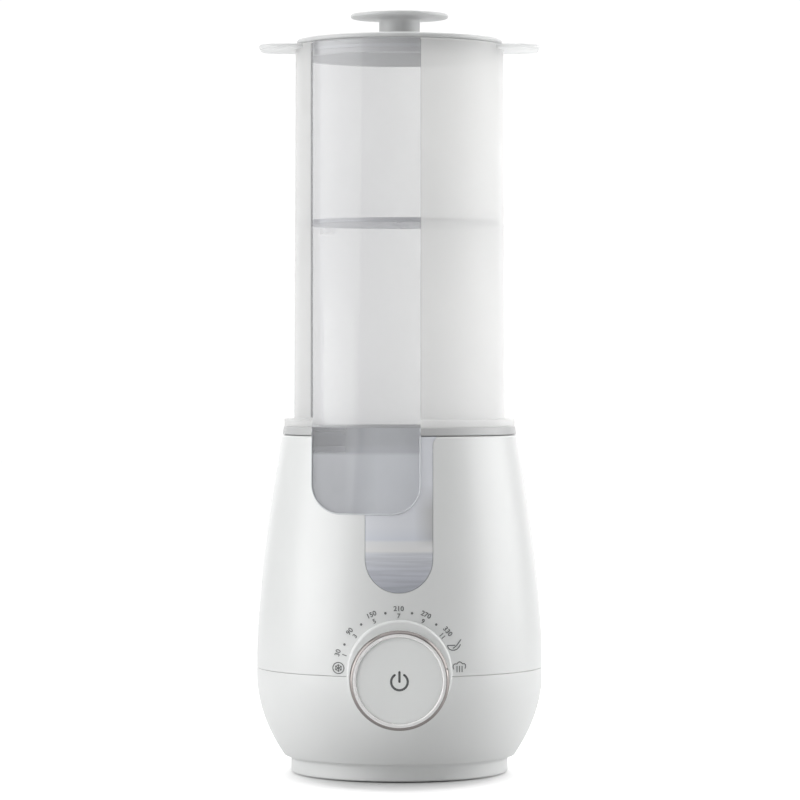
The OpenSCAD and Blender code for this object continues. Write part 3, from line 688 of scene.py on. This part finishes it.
def make_heater_plate():
    z, dish = PLATE_Z, 0.6
    boss_r, boss_z, rim_r, rim_z = 32.0, PLATE_Z - 8, 42.8, PLATE_Z - 2.5
    band_out, band_in, centre_r = 41.4, 37.0, 10.0
    path = rounded([
        (0, boss_z), (boss_r, boss_z, 0.6), (boss_r, rim_z, 0.6), (rim_r, rim_z, 0.3), (rim_r, z - dish, 0.4),
        (band_out, z, 0.5), (band_in, z, 0.6), (band_in - 1, z - dish, 0.6), (centre_r + 1, z - dish, 0.5),
        (centre_r, z - 0.1, 0.5), (0, z - 0.1)])
    obj = turned("heater_plate_disc", path, 160)
    place(obj, "base", PLATE, ["heater_plate"])


def skin_pane_path(z0, z1):
    """A pane's section between two heights, just inside the skin."""
    outer = skin_path(z0, min(z1, HOUSING_TOP), 40, PANE_GAP)
    inner = skin_path(z0, min(z1, HOUSING_TOP), 40, PANE_GAP + PANE_T)
    if z1 > HOUSING_TOP:
        outer.append((TRIM_TOP_R, z1))
        inner.append((TRIM_TOP_R - PANE_T, z1))
    return outer + inner[::-1]


def make_windows():
    pane = turned("bottle_window_pane", skin_pane_path(SIGHT_LOW - 1, TRIM_TOP - 0.1), 256)
    combine(pane, front_bar(sight_outline(-PANE_GAP)), "INTERSECT")
    place(pane, "base", MILKY, ["bottle_window"])
    pane = turned("level_window_pane", skin_pane_path(LEVEL_LOW - 1, HOUSING_TOP), 256)
    combine(pane, front_bar(level_outline(-PANE_GAP)), "INTERSECT")
    combine(pane, front_bar(sight_outline(0.1)))
    place(pane, "base", TINTED, ["level_window"])


def on_skin(x, z, lift):
    """The point of the body's front skin at (x, z), raised by lift."""
    r = body_radius(z) + lift if z <= HOUSING_TOP else TRIM_TOP_R + lift
    return Vector((x, -math.sqrt(max(r * r - x * x, 0)), z))


def tube(points, radius):
    """A bmesh tube through points in millimetres, closed at both ends."""
    sides = 10
    bm = bmesh.new()
    rings = []
    up = Vector((0, 0, 1))
    for i, p in enumerate(points):
        t = (points[min(i + 1, len(points) - 1)] - points[max(i - 1, 0)]).normalized()
        side = t.cross(up)
        if side.length < 1e-3:
            side = t.cross(Vector((0, 1, 0)))
        side.normalize()
        other = t.cross(side).normalized()
        ring = []
        for k in range(sides):
            a = 2 * math.pi * k / sides
            ring.append(bm.verts.new(p + (side * math.cos(a) + other * math.sin(a)) * radius))
        if rings:
            last = rings[-1][0].co
            best = min(range(sides), key=lambda s: (last - ring[s].co).length)
            ring = ring[best:] + ring[:best]
        rings.append(ring)
    skin_rings(bm, rings)
    return bm


def resample(outline):
    """Adds points along an open outline, about one to a spacing."""
    spacing = 1.0
    out = [outline[0]]
    for a, b in zip(outline, outline[1:]):
        n = max(1, int(math.dist(a, b) / spacing))
        out += [(a[0] + (b[0] - a[0]) * i / n, a[1] + (b[1] - a[1]) * i / n) for i in range(1, n + 1)]
    return out


def make_window_bead():
    """The light rim that runs round the tall window, on the housing's skin."""
    outline = sight_outline(-0.3, TRIM_TOP - 0.3)
    route = resample(outline[1:] + outline[:1])
    bead = finish_mesh("bottle_window_bead", tube([on_skin(x, z, 0.05) for x, z in route], 0.32))
    place(bead, "base", BEAD)


def make_dial_collar():
    back, z0, z1 = 50.0, 20.0, 82.0
    path = rounded([(0, back), (COLLAR_R, back), (COLLAR_R, COLLAR_FRONT, 1.5), (0, COLLAR_FRONT)], 8)
    obj = turned("dial_collar_bezel", path, 160, "Y", (0, COLLAR_Z))
    core = [(0, z0)] + skin_path(z0, z1, 40, -0.02) + [(0, z1)]
    combine(obj, lathe(core, 192))
    combine(obj, dial_hole(SHAFT_BORE_R, -40))
    sleeve_r, sleeve_back, sleeve_front = 18.0, 58.0, COLLAR_FRONT - 1
    sleeve = [(SHAFT_BORE_R, sleeve_back), (sleeve_r, sleeve_back), (sleeve_r, sleeve_front),
              (SHAFT_BORE_R, sleeve_front)]
    combine(obj, lathe(sleeve, 96, "Y", (0, DIAL_Z)), "UNION")
    place(obj, "base", WHITE, ["dial_collar"])


def make_gland():
    bore, neck, nut, flange = 3.3, 5.0, 6.6, 6.8
    start, nut_end, rest, end = -52.0, -54.5, -GLAND_FACE - 0.05, -GLAND_FACE - 2.6
    path = rounded([
        (bore, start), (nut, start), (nut, nut_end), (neck, nut_end), (neck, rest), (flange, rest),
        (flange, end, 1.1), (bore, end, 0.6)])
    obj = turned("cord_gland_bush", path, 64, "Y", (0, GLAND_Z))
    place(obj, "base", GLAND, ["cord_gland"])


def make_feet():
    foot_circle, pad_r, pad_top = 38.0, 5.6, 2.95
    path = rounded([(0, 0), (pad_r, 0, 0.8), (pad_r, pad_top), (0, pad_top)])
    pads = [lathe(path, 48, "Z", around(foot_circle, a)) for a in range(0, 360, 90)]
    place(finish_mesh("rubber_feet_pads", merged(pads)), "base", FOOT, ["rubber_feet"])


# ---------------- dial and scale

def make_dial_body(lip_back):
    shaft, shaft_bore, hub_in, hub_out, groove_r = 4.0, 2.6, 14.3, 16.3, 20.3
    shaft_end, hub_end, floor = 53.0, 60.0, 67.0
    rim, bed, web = DIAL_R - 0.2, 74.45, 73.6
    path = rounded([
        (hub_in, floor - 1), (hub_out, hub_end, 0.4), (hub_out, DIAL_BACK), (rim, DIAL_BACK, 0.8),
        (rim, bed, 0.2), (groove_r, bed), (groove_r, lip_back - 0.05, 0.2), (RING_INNER, lip_back - 0.05),
        (RING_INNER, web), (shaft_bore, web), (shaft_bore, shaft_end), (shaft, shaft_end), (shaft, floor),
        (hub_in, floor)])
    obj = turned("dial_body_moulding", path, 160, "Y", (0, DIAL_Z))
    place(obj, "dial", DIAL, ["dial_body"])


def make_dial():
    lip_back = DIAL_FACE - 1.7
    make_dial_body(lip_back)
    seat = RING_INNER + 0.95
    crown = [ring_point(a) for a in range(0, 79, 6)]
    crown_z = crown[-1][1]
    back = 74.5
    path = ([(seat, back), (DIAL_R - 0.3, back), (DIAL_R, back + 0.3)] + crown
            + [(seat + 0.4, crown_z - 0.3), (seat, back + 1.5)])
    ring = turned("dial_ring_metal", path, 200, "Y", (0, DIAL_Z))
    place(ring, "dial", RING, ["dial_ring"])
    inside = BUTTON_R + 0.08
    path = ([(seat + 0.5, crown_z - 0.6), ring_point(79), (RING_CREST_R + 0.1, DIAL_FACE - 0.02)]
            + arc(20.05, DIAL_FACE - 0.5, 0.6, 50, 150, 10)
            + [(BUTTON_R + 0.12, DIAL_FACE - 0.65), (inside, DIAL_FACE - 0.85), (inside, lip_back),
               (seat, lip_back)])
    lip = finish_mesh("dial_ring_lip", lathe(path, 200, "Y", (0, DIAL_Z)), 60)
    place(lip, "dial", LIP, ["dial_ring"])
    mark_r, mark_back, mark_front = 0.55, 75.4, DIAL_FACE - 0.5
    mark = rounded([(0, mark_back), (mark_r, mark_back), (mark_r, mark_front, 0.2), (0, mark_front)])
    x, z = around(DIAL_R - 0.75, 14)
    obj = turned("dial_pointer_mark", mark, 32, "Y", (x, DIAL_Z + z))
    place(obj, "dial", PRINT, ["dial_pointer"])


def ring_point(angle):
    """A point of the dial ring's round outer side: 0 degrees at its shoulder, 90 at its crest."""
    shoulder = 75.7
    a = math.radians(angle)
    return (RING_CREST_R + (DIAL_R - RING_CREST_R) * math.cos(a),
            shoulder + (DIAL_FACE - shoulder) * math.sin(a))


def make_button():
    face, back = BUTTON_FACE, BUTTON_FACE - 1.9
    stem_r, stem_end, skirt_r, edge = 2.3, 53.8, 16.2, 0.15
    dome = [(BUTTON_R * k / 10, face - 0.1 * (k / 10) ** 2) for k in range(0, 10)]
    path = ([(0, stem_end), (stem_r, stem_end), (stem_r, back + 0.6), (skirt_r, back + 0.6), (skirt_r, back),
             (BUTTON_R, back)]
            + arc(BUTTON_R - edge, face - 0.1 - edge, edge, 0, 85, 6) + dome[::-1])
    obj = turned("power_button_cap", path, 160, "Y", (0, DIAL_Z))
    place(obj, "button", DIAL, ["power_button"])
    make_power_icon(face - 0.005)


def make_power_icon(top):
    """A broken ring with an upright bar, printed on the button."""
    bm = bmesh.new()
    r, stroke, gap, count = ICON_R, ICON_STROKE, 35, 60
    step = (360 - 2 * gap) / count
    for k in range(count):
        a0, a1 = 90 + gap + step * k, 90 + gap + step * (k + 1)
        icon_plate(bm, [around(r - stroke, a0), around(r + stroke, a0), around(r + stroke, a1),
                        around(r - stroke, a1)], top)
    for end in (90 + gap, 90 - gap):
        round_dot(bm, *around(r, end), stroke, top)
    bar_low, bar_high = 0.07, 4.37
    icon_plate(bm, [(-stroke, bar_low), (stroke, bar_low), (stroke, bar_high), (-stroke, bar_high)], top)
    round_dot(bm, 0, bar_low, stroke, top)
    round_dot(bm, 0, bar_high, stroke, top)
    icon = finish_mesh("power_icon_print", bm)
    place(icon, "button", PRINT, ["power_icon"])


def icon_plate(bm, corners, top):
    """A thin plate with corners about the power symbol's centre, its front just before top."""
    depth = 0.06
    skin_rings(bm, [[bm.verts.new((x, y, ICON_Z + z)) for x, z in corners]
                    for y in (-top - PRINT_T, -top + depth)])


def round_dot(bm, x, z, r, top):
    icon_plate(bm, disc(x, z, r, 20), top)


def wrap_print(obj, x0, z0, turn=0):
    """Lays a flat print, drawn in x and y in millimetres, on the body's skin at (x0, z0), turned."""
    c, s = around(1, turn)
    for v in obj.data.vertices:
        x, y, h = v.co / MM
        v.co = on_skin(x0 + x * c - y * s, z0 + x * s + y * c, PRINT_LIFT + h) * MM


def stroke_plate(bm, points, width=SYMBOL_LINE):
    """A thin ribbon of round dots and bars through flat points."""
    for a, b in zip(points, points[1:]):
        a, b = Vector(a), Vector(b)
        side = (b - a).orthogonal().normalized() * width / 2
        add_plate(bm, [a + side, a - side, b - side, b + side])
    for p in points:
        add_plate(bm, disc(p[0], p[1], width / 2, 12))


def add_plate(bm, corners):
    skin_rings(bm, [[bm.verts.new((p[0], p[1], h)) for p in corners] for h in (PRINT_T, -PRINT_T)])


def number_print(name, text, size):
    curve = bpy.data.curves.new(name, "FONT")
    curve.body = text
    curve.size = size * MM
    curve.offset = 0.05 * MM
    curve.align_x = "CENTER"
    curve.align_y = "CENTER"
    curve.extrude = PRINT_T * MM
    curve.resolution_u = 4
    temp = add_object(name, curve)
    depsgraph = bpy.context.evaluated_depsgraph_get()
    mesh = bpy.data.meshes.new_from_object(temp.evaluated_get(depsgraph))
    bpy.data.objects.remove(temp)
    for v in mesh.vertices:
        v.co.x *= 1.02
    return add_object(name, mesh)


def bowl_icon(bm):
    stroke_plate(bm, [(-2.6, -0.2), (0.7, -0.2)])
    stroke_plate(bm, [(-2.6, -0.2), (-2.35, -1.1), (-1.7, -1.9), (-0.6, -2.4), (0.6, -2.4), (1.7, -2.0),
                      (2.6, -1.1), (3.2, 0.0)])
    stroke_plate(bm, [(0.0, -1.5), (1.5, -0.4), (2.6, 1.1), (3.4, 2.2)])


def steam_icon(bm):
    stroke_plate(bm, [(-2.2, -1.15), (-2.5, -0.2), (-2.35, 0.65), (-1.6, 1.15), (-0.65, 1.1), (-0.2, 1.75),
                      (0.5, 2.0), (1.2, 1.75), (1.75, 1.1), (2.6, 1.15), (3.15, 0.6), (3.2, -0.3),
                      (2.95, -1.0)])
    for x in (-0.7, 0.45, 1.6):
        stroke_plate(bm, [(x, 0.0), (x, -2.5)])


def frost_icon(bm):
    stroke_plate(bm, arc(0, 0, 2.5, 0, 360, 36))
    for a in (30, 90, 150):
        stroke_plate(bm, [around(-1.6, a), around(1.6, a)])
    barb, root, half = 1.35, 0.9, 0.5
    for a in range(30, 390, 60):
        c, s = around(1, a)
        tip = [(barb * c - half * s, barb * s + half * c), (root * c, root * s),
               (barb * c + half * s, barb * s - half * c)]
        stroke_plate(bm, tip, SYMBOL_LINE * 0.7)


def make_scale():
    """The printed scale: two rows of numbers, dots between them and three symbols."""
    marks = [(-72.5, "30", "1"), (-50.2, "90", "3"), (-25.3, "150", "5"), (0, "210", "7"),
             (25.3, "270", "9"), (50.2, "330", "11")]
    for i, (angle, outer, inner) in enumerate(marks):
        for label, text, r, size in (("outer", outer, 28.7, 3.1), ("inner", inner, 25.5, 2.8)):
            obj = number_print(f"scale_{label}_{i}", text, size)
            x, z = around(r, 90 - angle)
            wrap_print(obj, SCALE_X + x, COLLAR_Z + z, -angle)
            place(obj, "base", SCALE_PRINT)
    for label, x, z, draw in (("bowl", 24.2, 12.3, bowl_icon), ("steam", 26.6, 2.6, steam_icon),
                              ("frost", -27.5, 1.8, frost_icon)):
        bm = bmesh.new()
        draw(bm)
        obj = finish_mesh(f"scale_symbol_{label}", bm)
        wrap_print(obj, x, COLLAR_Z + z)
        place(obj, "base", SCALE_PRINT)
    bm = bmesh.new()
    for angle in (-63, -38, -12.6, 12.6, 38):
        add_plate(bm, disc(*around(27.4, 90 - angle), 0.55, 24))
    dots = finish_mesh("scale_dots", bm)
    wrap_print(dots, SCALE_X, COLLAR_Z)
    place(dots, "base", SCALE_PRINT, ["dial_scale"])


# ---------------- chamber, tray, rack, lid

def chamber_bar(grow=0.0):
    """The bar that cuts the chamber's window."""
    x0, x1 = SIGHT_LEFT - grow, SIGHT_RIGHT + grow
    return front_bar([(x0, 150), (x1, 150), (x1, CHAMBER_TOP + 10), (x0, CHAMBER_TOP + 10)])


def ear_plate(side):
    """One ear: a flat tab with rounded corners and a full round edge."""
    low_z, thick, corner, edge, root = CHAMBER_TOP - 2.3, 2.1, 10.0, 0.95, 40.0
    quarter = [math.radians(18 * k) for k in range(6)]
    layers = [(low_z + edge - edge * math.cos(a), edge * (1 - math.sin(a))) for a in quarter]
    layers += [(low_z + thick - edge + edge * math.sin(a), edge * (1 - math.cos(a))) for a in quarter]
    bm = bmesh.new()
    rings = []
    for z, inset in layers:
        half = EAR_WIDTH / 2 - inset
        tip = EAR_REACH - inset
        r = corner - inset
        outline = ([(root, -half)] + arc(tip - r, -half + r, r, -90, 0, 16)
                   + arc(tip - r, half - r, r, 0, 90, 16) + [(root, half)])
        rings.append([bm.verts.new((side * x, y, z)) for x, y in outline])
    skin_rings(bm, rings)
    return bm


def make_ears():
    obj = finish_mesh("chamber_ears", merged([ear_plate(-1), ear_plate(1)]))
    wall = chamber_radius(CHAMBER_TOP) - 0.1
    z0, z1 = CHAMBER_TOP - 9, CHAMBER_TOP + 5
    combine(obj, lathe([(0, z0), (wall, z0), (wall, z1), (0, z1)], 256))
    place(obj, "chamber", EAR, ["steam_chamber"])


def chamber_path(seat_corner, flange):
    """The chamber's section: its foot and flange as given, its wall shared by shell and pane."""
    top_out = chamber_radius(CHAMBER_TOP)
    top_in = top_out - CHAMBER_WALL
    return rounded(seat_corner + flange + [
        (top_out, CHAMBER_TOP, 0.9), (top_in, CHAMBER_TOP, 0.9), (CHAMBER_R - CHAMBER_WALL, FLANGE_TOP),
        (SPIGOT_IN, CHAMBER_FOOT)])


def make_chamber():
    shell = chamber_path(
        [(SPIGOT_IN, SPIGOT_FOOT, 0.3), (SPIGOT_OUT, SPIGOT_FOOT, 0.3), (SPIGOT_OUT, CHAMBER_FOOT)],
        [(FLANGE_R, CHAMBER_FOOT, 0.4), (FLANGE_R, FLANGE_TOP, 0.8), (CHAMBER_R, FLANGE_TOP, 0.6)])
    obj = turned("steam_chamber_shell", shell, 256)
    ledge_in, ledge_z = 43.6, TRAY_Z - 0.3
    wall = chamber_radius(TRAY_Z) - CHAMBER_WALL + 0.5
    ledge = rounded([(ledge_in, TRAY_Z - 2.2, 0.4), (wall, TRAY_Z - 3.6), (wall, ledge_z),
                     (ledge_in, ledge_z, 0.4)])
    for start in (-46, 44, 134, 176):
        combine(obj, lathe(ledge, 12, span=(start, start + 10)), "UNION")
    combine(obj, chamber_bar())
    place(obj, "chamber", FROSTED, ["steam_chamber"])
    pane_path = chamber_path(
        [(SPIGOT_IN, SPIGOT_FOOT), (CHAMBER_R, SPIGOT_FOOT), (CHAMBER_R, CHAMBER_FOOT)],
        [(FLANGE_R, CHAMBER_FOOT), (FLANGE_R, CHAMBER_FOOT + 1), (CHAMBER_R, CHAMBER_FOOT + 1)])
    pane = turned("chamber_window_pane", pane_path, 256)
    combine(pane, chamber_bar(-PANE_GAP), "INTERSECT")
    place(pane, "chamber", CHAMBER_CLEAR, ["chamber_window"])


def make_chamber_seam_shades():
    """The filled joints between the frosted wall and the clear window, on the chamber's outside, as dark
    strips: their darkness is painted shade of the frosted wall's cut edge, wider on the left.
    """
    lift, depth, count = 0.06, 0.25, 40
    z0, z1 = FLANGE_TOP + 0.8, CHAMBER_TOP - 1.0
    for side, x, half in (("left", SIGHT_LEFT, 0.5), ("right", SIGHT_RIGHT, 0.12)):
        corners = [(x - half, lift), (x + half, lift), (x + half, -depth), (x - half, -depth)]
        bm = bmesh.new()
        rings = []
        for k in range(count + 1):
            z = z0 + (z1 - z0) * k / count
            r = chamber_radius(z)
            rings.append([bm.verts.new((u, -math.sqrt((r + h) ** 2 - u * u), z)) for u, h in corners])
        skin_rings(bm, rings)
        seam = finish_mesh(f"chamber_window_seam_{side}", bm)
        place(seam, "chamber", SEAM_SHADE)


def slot_prism(r0, r1, width, angle, z0, z1):
    """A radial slot with round ends."""
    half = width / 2
    outline = arc(r1 - half, 0, half, -90, 90, 8) + arc(r0 + half, 0, half, 90, 270, 8)
    c, s = around(1, angle)
    return prism([(x * c - y * s, x * s + y * c) for x, y in outline], z0, z1, "Z")


def make_tray():
    z, plate_t, rim, r = TRAY_Z, 1.3, 2.1, TRAY_R
    rim_r, ring_r, collar_r, hole_r = r - 1.6, 11.0, 9.0, 5.0
    path = rounded([
        (hole_r, z, 0.3), (r, z, 0.5), (r, z + rim, 0.5), (rim_r, z + rim, 0.5), (rim_r, z + plate_t, 0.4),
        (ring_r, z + plate_t, 0.3), (ring_r, z + rim, 0.4), (collar_r, z + rim, 0.4),
        (collar_r, z + plate_t, 0.3), (hole_r, z + plate_t, 0.3)])
    obj = turned("accessory_tray_disc", path)
    holes = [slot_prism(28, 41, 2.6, i * 18, z - 3, z + 6) for i in range(20)]
    holes += [slot_prism(14, 25, 2.6, 9 + i * 36, z - 3, z + 6) for i in range(10)]
    combine(obj, merged(holes))
    place(obj, "tray", TRAY, ["accessory_tray"])


def make_rack():
    z, r = RACK_Z, RACK_R
    hole_r, rim_t, leg_r, leg_foot = 8.0, 1.8, 2.6, PLATE_Z + 0.3
    path = rounded([
        (hole_r, z, 0.4), (r, z, 0.6), (r, z + RACK_RIM, 0.7), (r - rim_t, z + RACK_RIM, 0.7),
        (r - rim_t, z + RACK_T, 0.4), (hole_r, z + RACK_T, 0.4)])
    obj = turned("bottle_rack_disc", path, 160)
    combine(obj, merged([slot_prism(13, 29, 3.2, i * 30, z - 3, z + 6) for i in range(12)]))
    leg = rounded([(0, leg_foot), (leg_r, leg_foot, 0.8), (leg_r, z + 0.5), (0, z + 0.5)])
    for a in range(45, 360, 90):
        combine(obj, lathe(leg, 32, "Z", around(r - 6, a)), "UNION")
    place(obj, "rack", RACK, ["bottle_rack"])


def make_lid():
    bore, groove, neck = 1.8, PLUG_R - 0.6, PLUG_R - 1.8
    seal_z, seal_top = LID_LOW - 4.2, LID_LOW - 2.6
    path = rounded([
        (bore, LID_LOW), (neck, LID_LOW, 0.5), (neck, PLUG_LOW, 0.5), (PLUG_R, PLUG_LOW, 0.5),
        (PLUG_R, seal_z, 0.1), (groove, seal_z), (groove, seal_top), (PLUG_R, seal_top, 0.1),
        (PLUG_R, LID_LOW), (LID_R, LID_LOW, 0.9), (LID_R, LID_HIGH, 1.25), (bore, LID_HIGH)], 8)
    obj = turned("chamber_lid_plate", path, 224)
    place(obj, "lid", LID, ["chamber_lid"])
    make_knob()


def make_knob():
    rim, screw_r, screw_top = 0.95, 1.55, LID_HIGH + 9
    foot, under = LID_HIGH + 0.05, KNOB_TOP - 2.1
    path = rounded([
        (0, screw_top), (screw_r, screw_top), (screw_r, foot), (STEM_R, foot), (STEM_R, KNOB_TOP - 2.6, 1.4),
        (KNOB_R - 3.5, under), (KNOB_R - 1.2, under)], 10)
    path += arc(KNOB_R - rim, KNOB_TOP - 1.15, rim, -80, 84, 12)
    path += [(KNOB_R * 0.62, KNOB_TOP - 0.06), (KNOB_R * 0.3, KNOB_TOP - 0.01), (0, KNOB_TOP)]
    knob = turned("lid_knob_mushroom", path, 160)
    place(knob, "lid", LID, ["lid_knob"])


def dress_cad_nodes():
    """Materials for the CAD pieces that keep their own shape."""
    looks = {
        "well_gasket": SILICONE, "heater_element": ELEMENT, "thermostat": BLACK, "temperature_sensor": BRASS,
        "thermal_fuse": CERAMIC, "well_window": CLEAR, "window_frame": FRAME, "window_seal": SILICONE,
        "control_board": BOARD, "board_bracket": BRACKET, "rotary_encoder": BLACK, "tact_switch": BLACK,
        "power_board": BOARD, "relay": RELAY, "supply_capacitor": SLEEVE, "terminal_block": TERMINAL,
        "heater_leads": LEAD, "cover_screws": SCREW, "board_screws": SCREW, "chamber_seal": SEAL,
        "lid_screw": SCREW, "lid_seal": SEAL}
    for node, material in looks.items():
        NODES[node].data.materials.clear()
        NODES[node].data.materials.append(material)


# ---------------- stage

def softbox(name, azimuth, elevation, distance, wide, tall, radiance):
    """A rectangular light aimed at the object; wide and tall are the angles it fills, in degrees."""
    light = bpy.data.lights.new(name + "_softbox", "AREA")
    light.shape = "RECTANGLE"
    light.size = 2 * distance * math.tan(math.radians(wide / 2))
    light.size_y = 2 * distance * math.tan(math.radians(tall / 2))
    light.energy = radiance * math.pi * light.size * light.size_y
    obj = add_object(light.name, light)
    obj.visible_camera = False
    a, e = math.radians(azimuth), math.radians(elevation)
    target = Vector((0, 0, 0.17))
    away = Vector((math.sin(a) * math.cos(e), -math.cos(a) * math.cos(e), math.sin(e)))
    obj.location = target + distance * away
    obj.rotation_euler = (target - obj.location).to_track_quat("-Z", "Y").to_euler()


def make_world():
    """White to the camera, nearly dark to everything else."""
    world = bpy.data.worlds.new("studio")
    bpy.context.scene.world = world
    world.use_nodes = True
    tree = world.node_tree
    back = tree.nodes["Background"]
    back.inputs["Color"].default_value = (1, 1, 1, 1)
    back.inputs["Strength"].default_value = 1.05
    ambient = tree.nodes.new("ShaderNodeBackground")
    ambient.inputs["Color"].default_value = (0.96, 0.98, 1, 1)
    ambient.inputs["Strength"].default_value = 0.02
    camera_ray = tree.nodes.new("ShaderNodeLightPath").outputs["Is Camera Ray"]
    sky = mixed(tree, camera_ray, ambient.outputs["Background"], back.outputs["Background"])
    tree.links.new(sky, tree.nodes["World Output"].inputs["Surface"])


def floor_paper():
    """Paper that takes the shadow under the part and fades to white around it: besides the real shadow it
    carries a painted shadow, as its glow to the camera is least near the part and rises to white further out.
    """
    mat, tree, shader = new_material("floor_paper")
    shader.inputs["Base Color"].default_value = (0.62, 0.62, 0.62, 1)
    shader.inputs["Roughness"].default_value = 0.6
    shader.inputs["Emission Color"].default_value = (1, 1, 1, 1)
    # painted shadow: the camera-only glow is weakest close to the part, narrower to the sides, and reaches
    # full white about 0.6 m out
    distance = length(tree, stretched(tree, (1.85, 1, 1), (0, -0.005, 0)))
    painted_shadow_fade = ramp(tree, distance, [(0.057, 0.0), (0.071, 0.08), (0.083, 0.2), (0.097, 0.45), (0.117, 0.6),
                                 (0.6, 1.0)])
    lift = tree.nodes.new("ShaderNodeMath")
    lift.operation = "MULTIPLY"
    tree.links.new(tree.nodes.new("ShaderNodeLightPath").outputs["Is Camera Ray"], lift.inputs[0])
    tree.links.new(painted_shadow_fade, lift.inputs[1])
    tree.links.new(lift.outputs["Value"], shader.inputs["Emission Strength"])
    return mat


def make_camera():
    """A long lens that looks level at the part."""
    distance, height = 1.783, 0.188
    camera = bpy.data.cameras.new("camera")
    camera.lens = 172.2
    camera.sensor_width = 36
    camera.shift_y = -0.04
    obj = add_object("camera", camera)
    obj.location = (0.00025, -distance, height)
    obj.rotation_euler = (math.radians(90), 0, 0)
    bpy.context.scene.camera = obj


def make_stage():
    bpy.context.scene.view_settings.view_transform = "Standard"
    make_world()
    bm = bmesh.new()
    bmesh.ops.create_grid(bm, x_segments=8, y_segments=8, size=6000)
    floor = finish_mesh("floor", bm)
    floor.data.materials.append(floor_paper())
    softbox("left", -70, 22, 1.3, 54, 50, 2.55)
    softbox("right", 95, 22, 1.3, 50, 50, 3.1)
    softbox("left_low", -70, -1.2, 1.3, 40, 12.6, 2.7)
    softbox("right_low", 75, -1.2, 1.3, 40, 12.6, 1.7)
    softbox("top", 0, 80, 1.2, 60, 60, 1.1)
    softbox("top_back", 180, 60, 1.3, 50, 40, 3.0)
    softbox("back", 180, 12, 1.5, 70, 60, 1.2)
    make_camera()


make_stage()
make_housing()
make_bottom_cover()
make_trim_ring()
make_well()
make_heater_plate()
make_windows()
make_window_bead()
make_dial_collar()
make_gland()
make_feet()
make_dial()
make_button()
make_scale()
make_chamber()
make_ears()
make_chamber_seam_shades()
make_tray()
make_rack()
make_lid()
dress_cad_nodes()
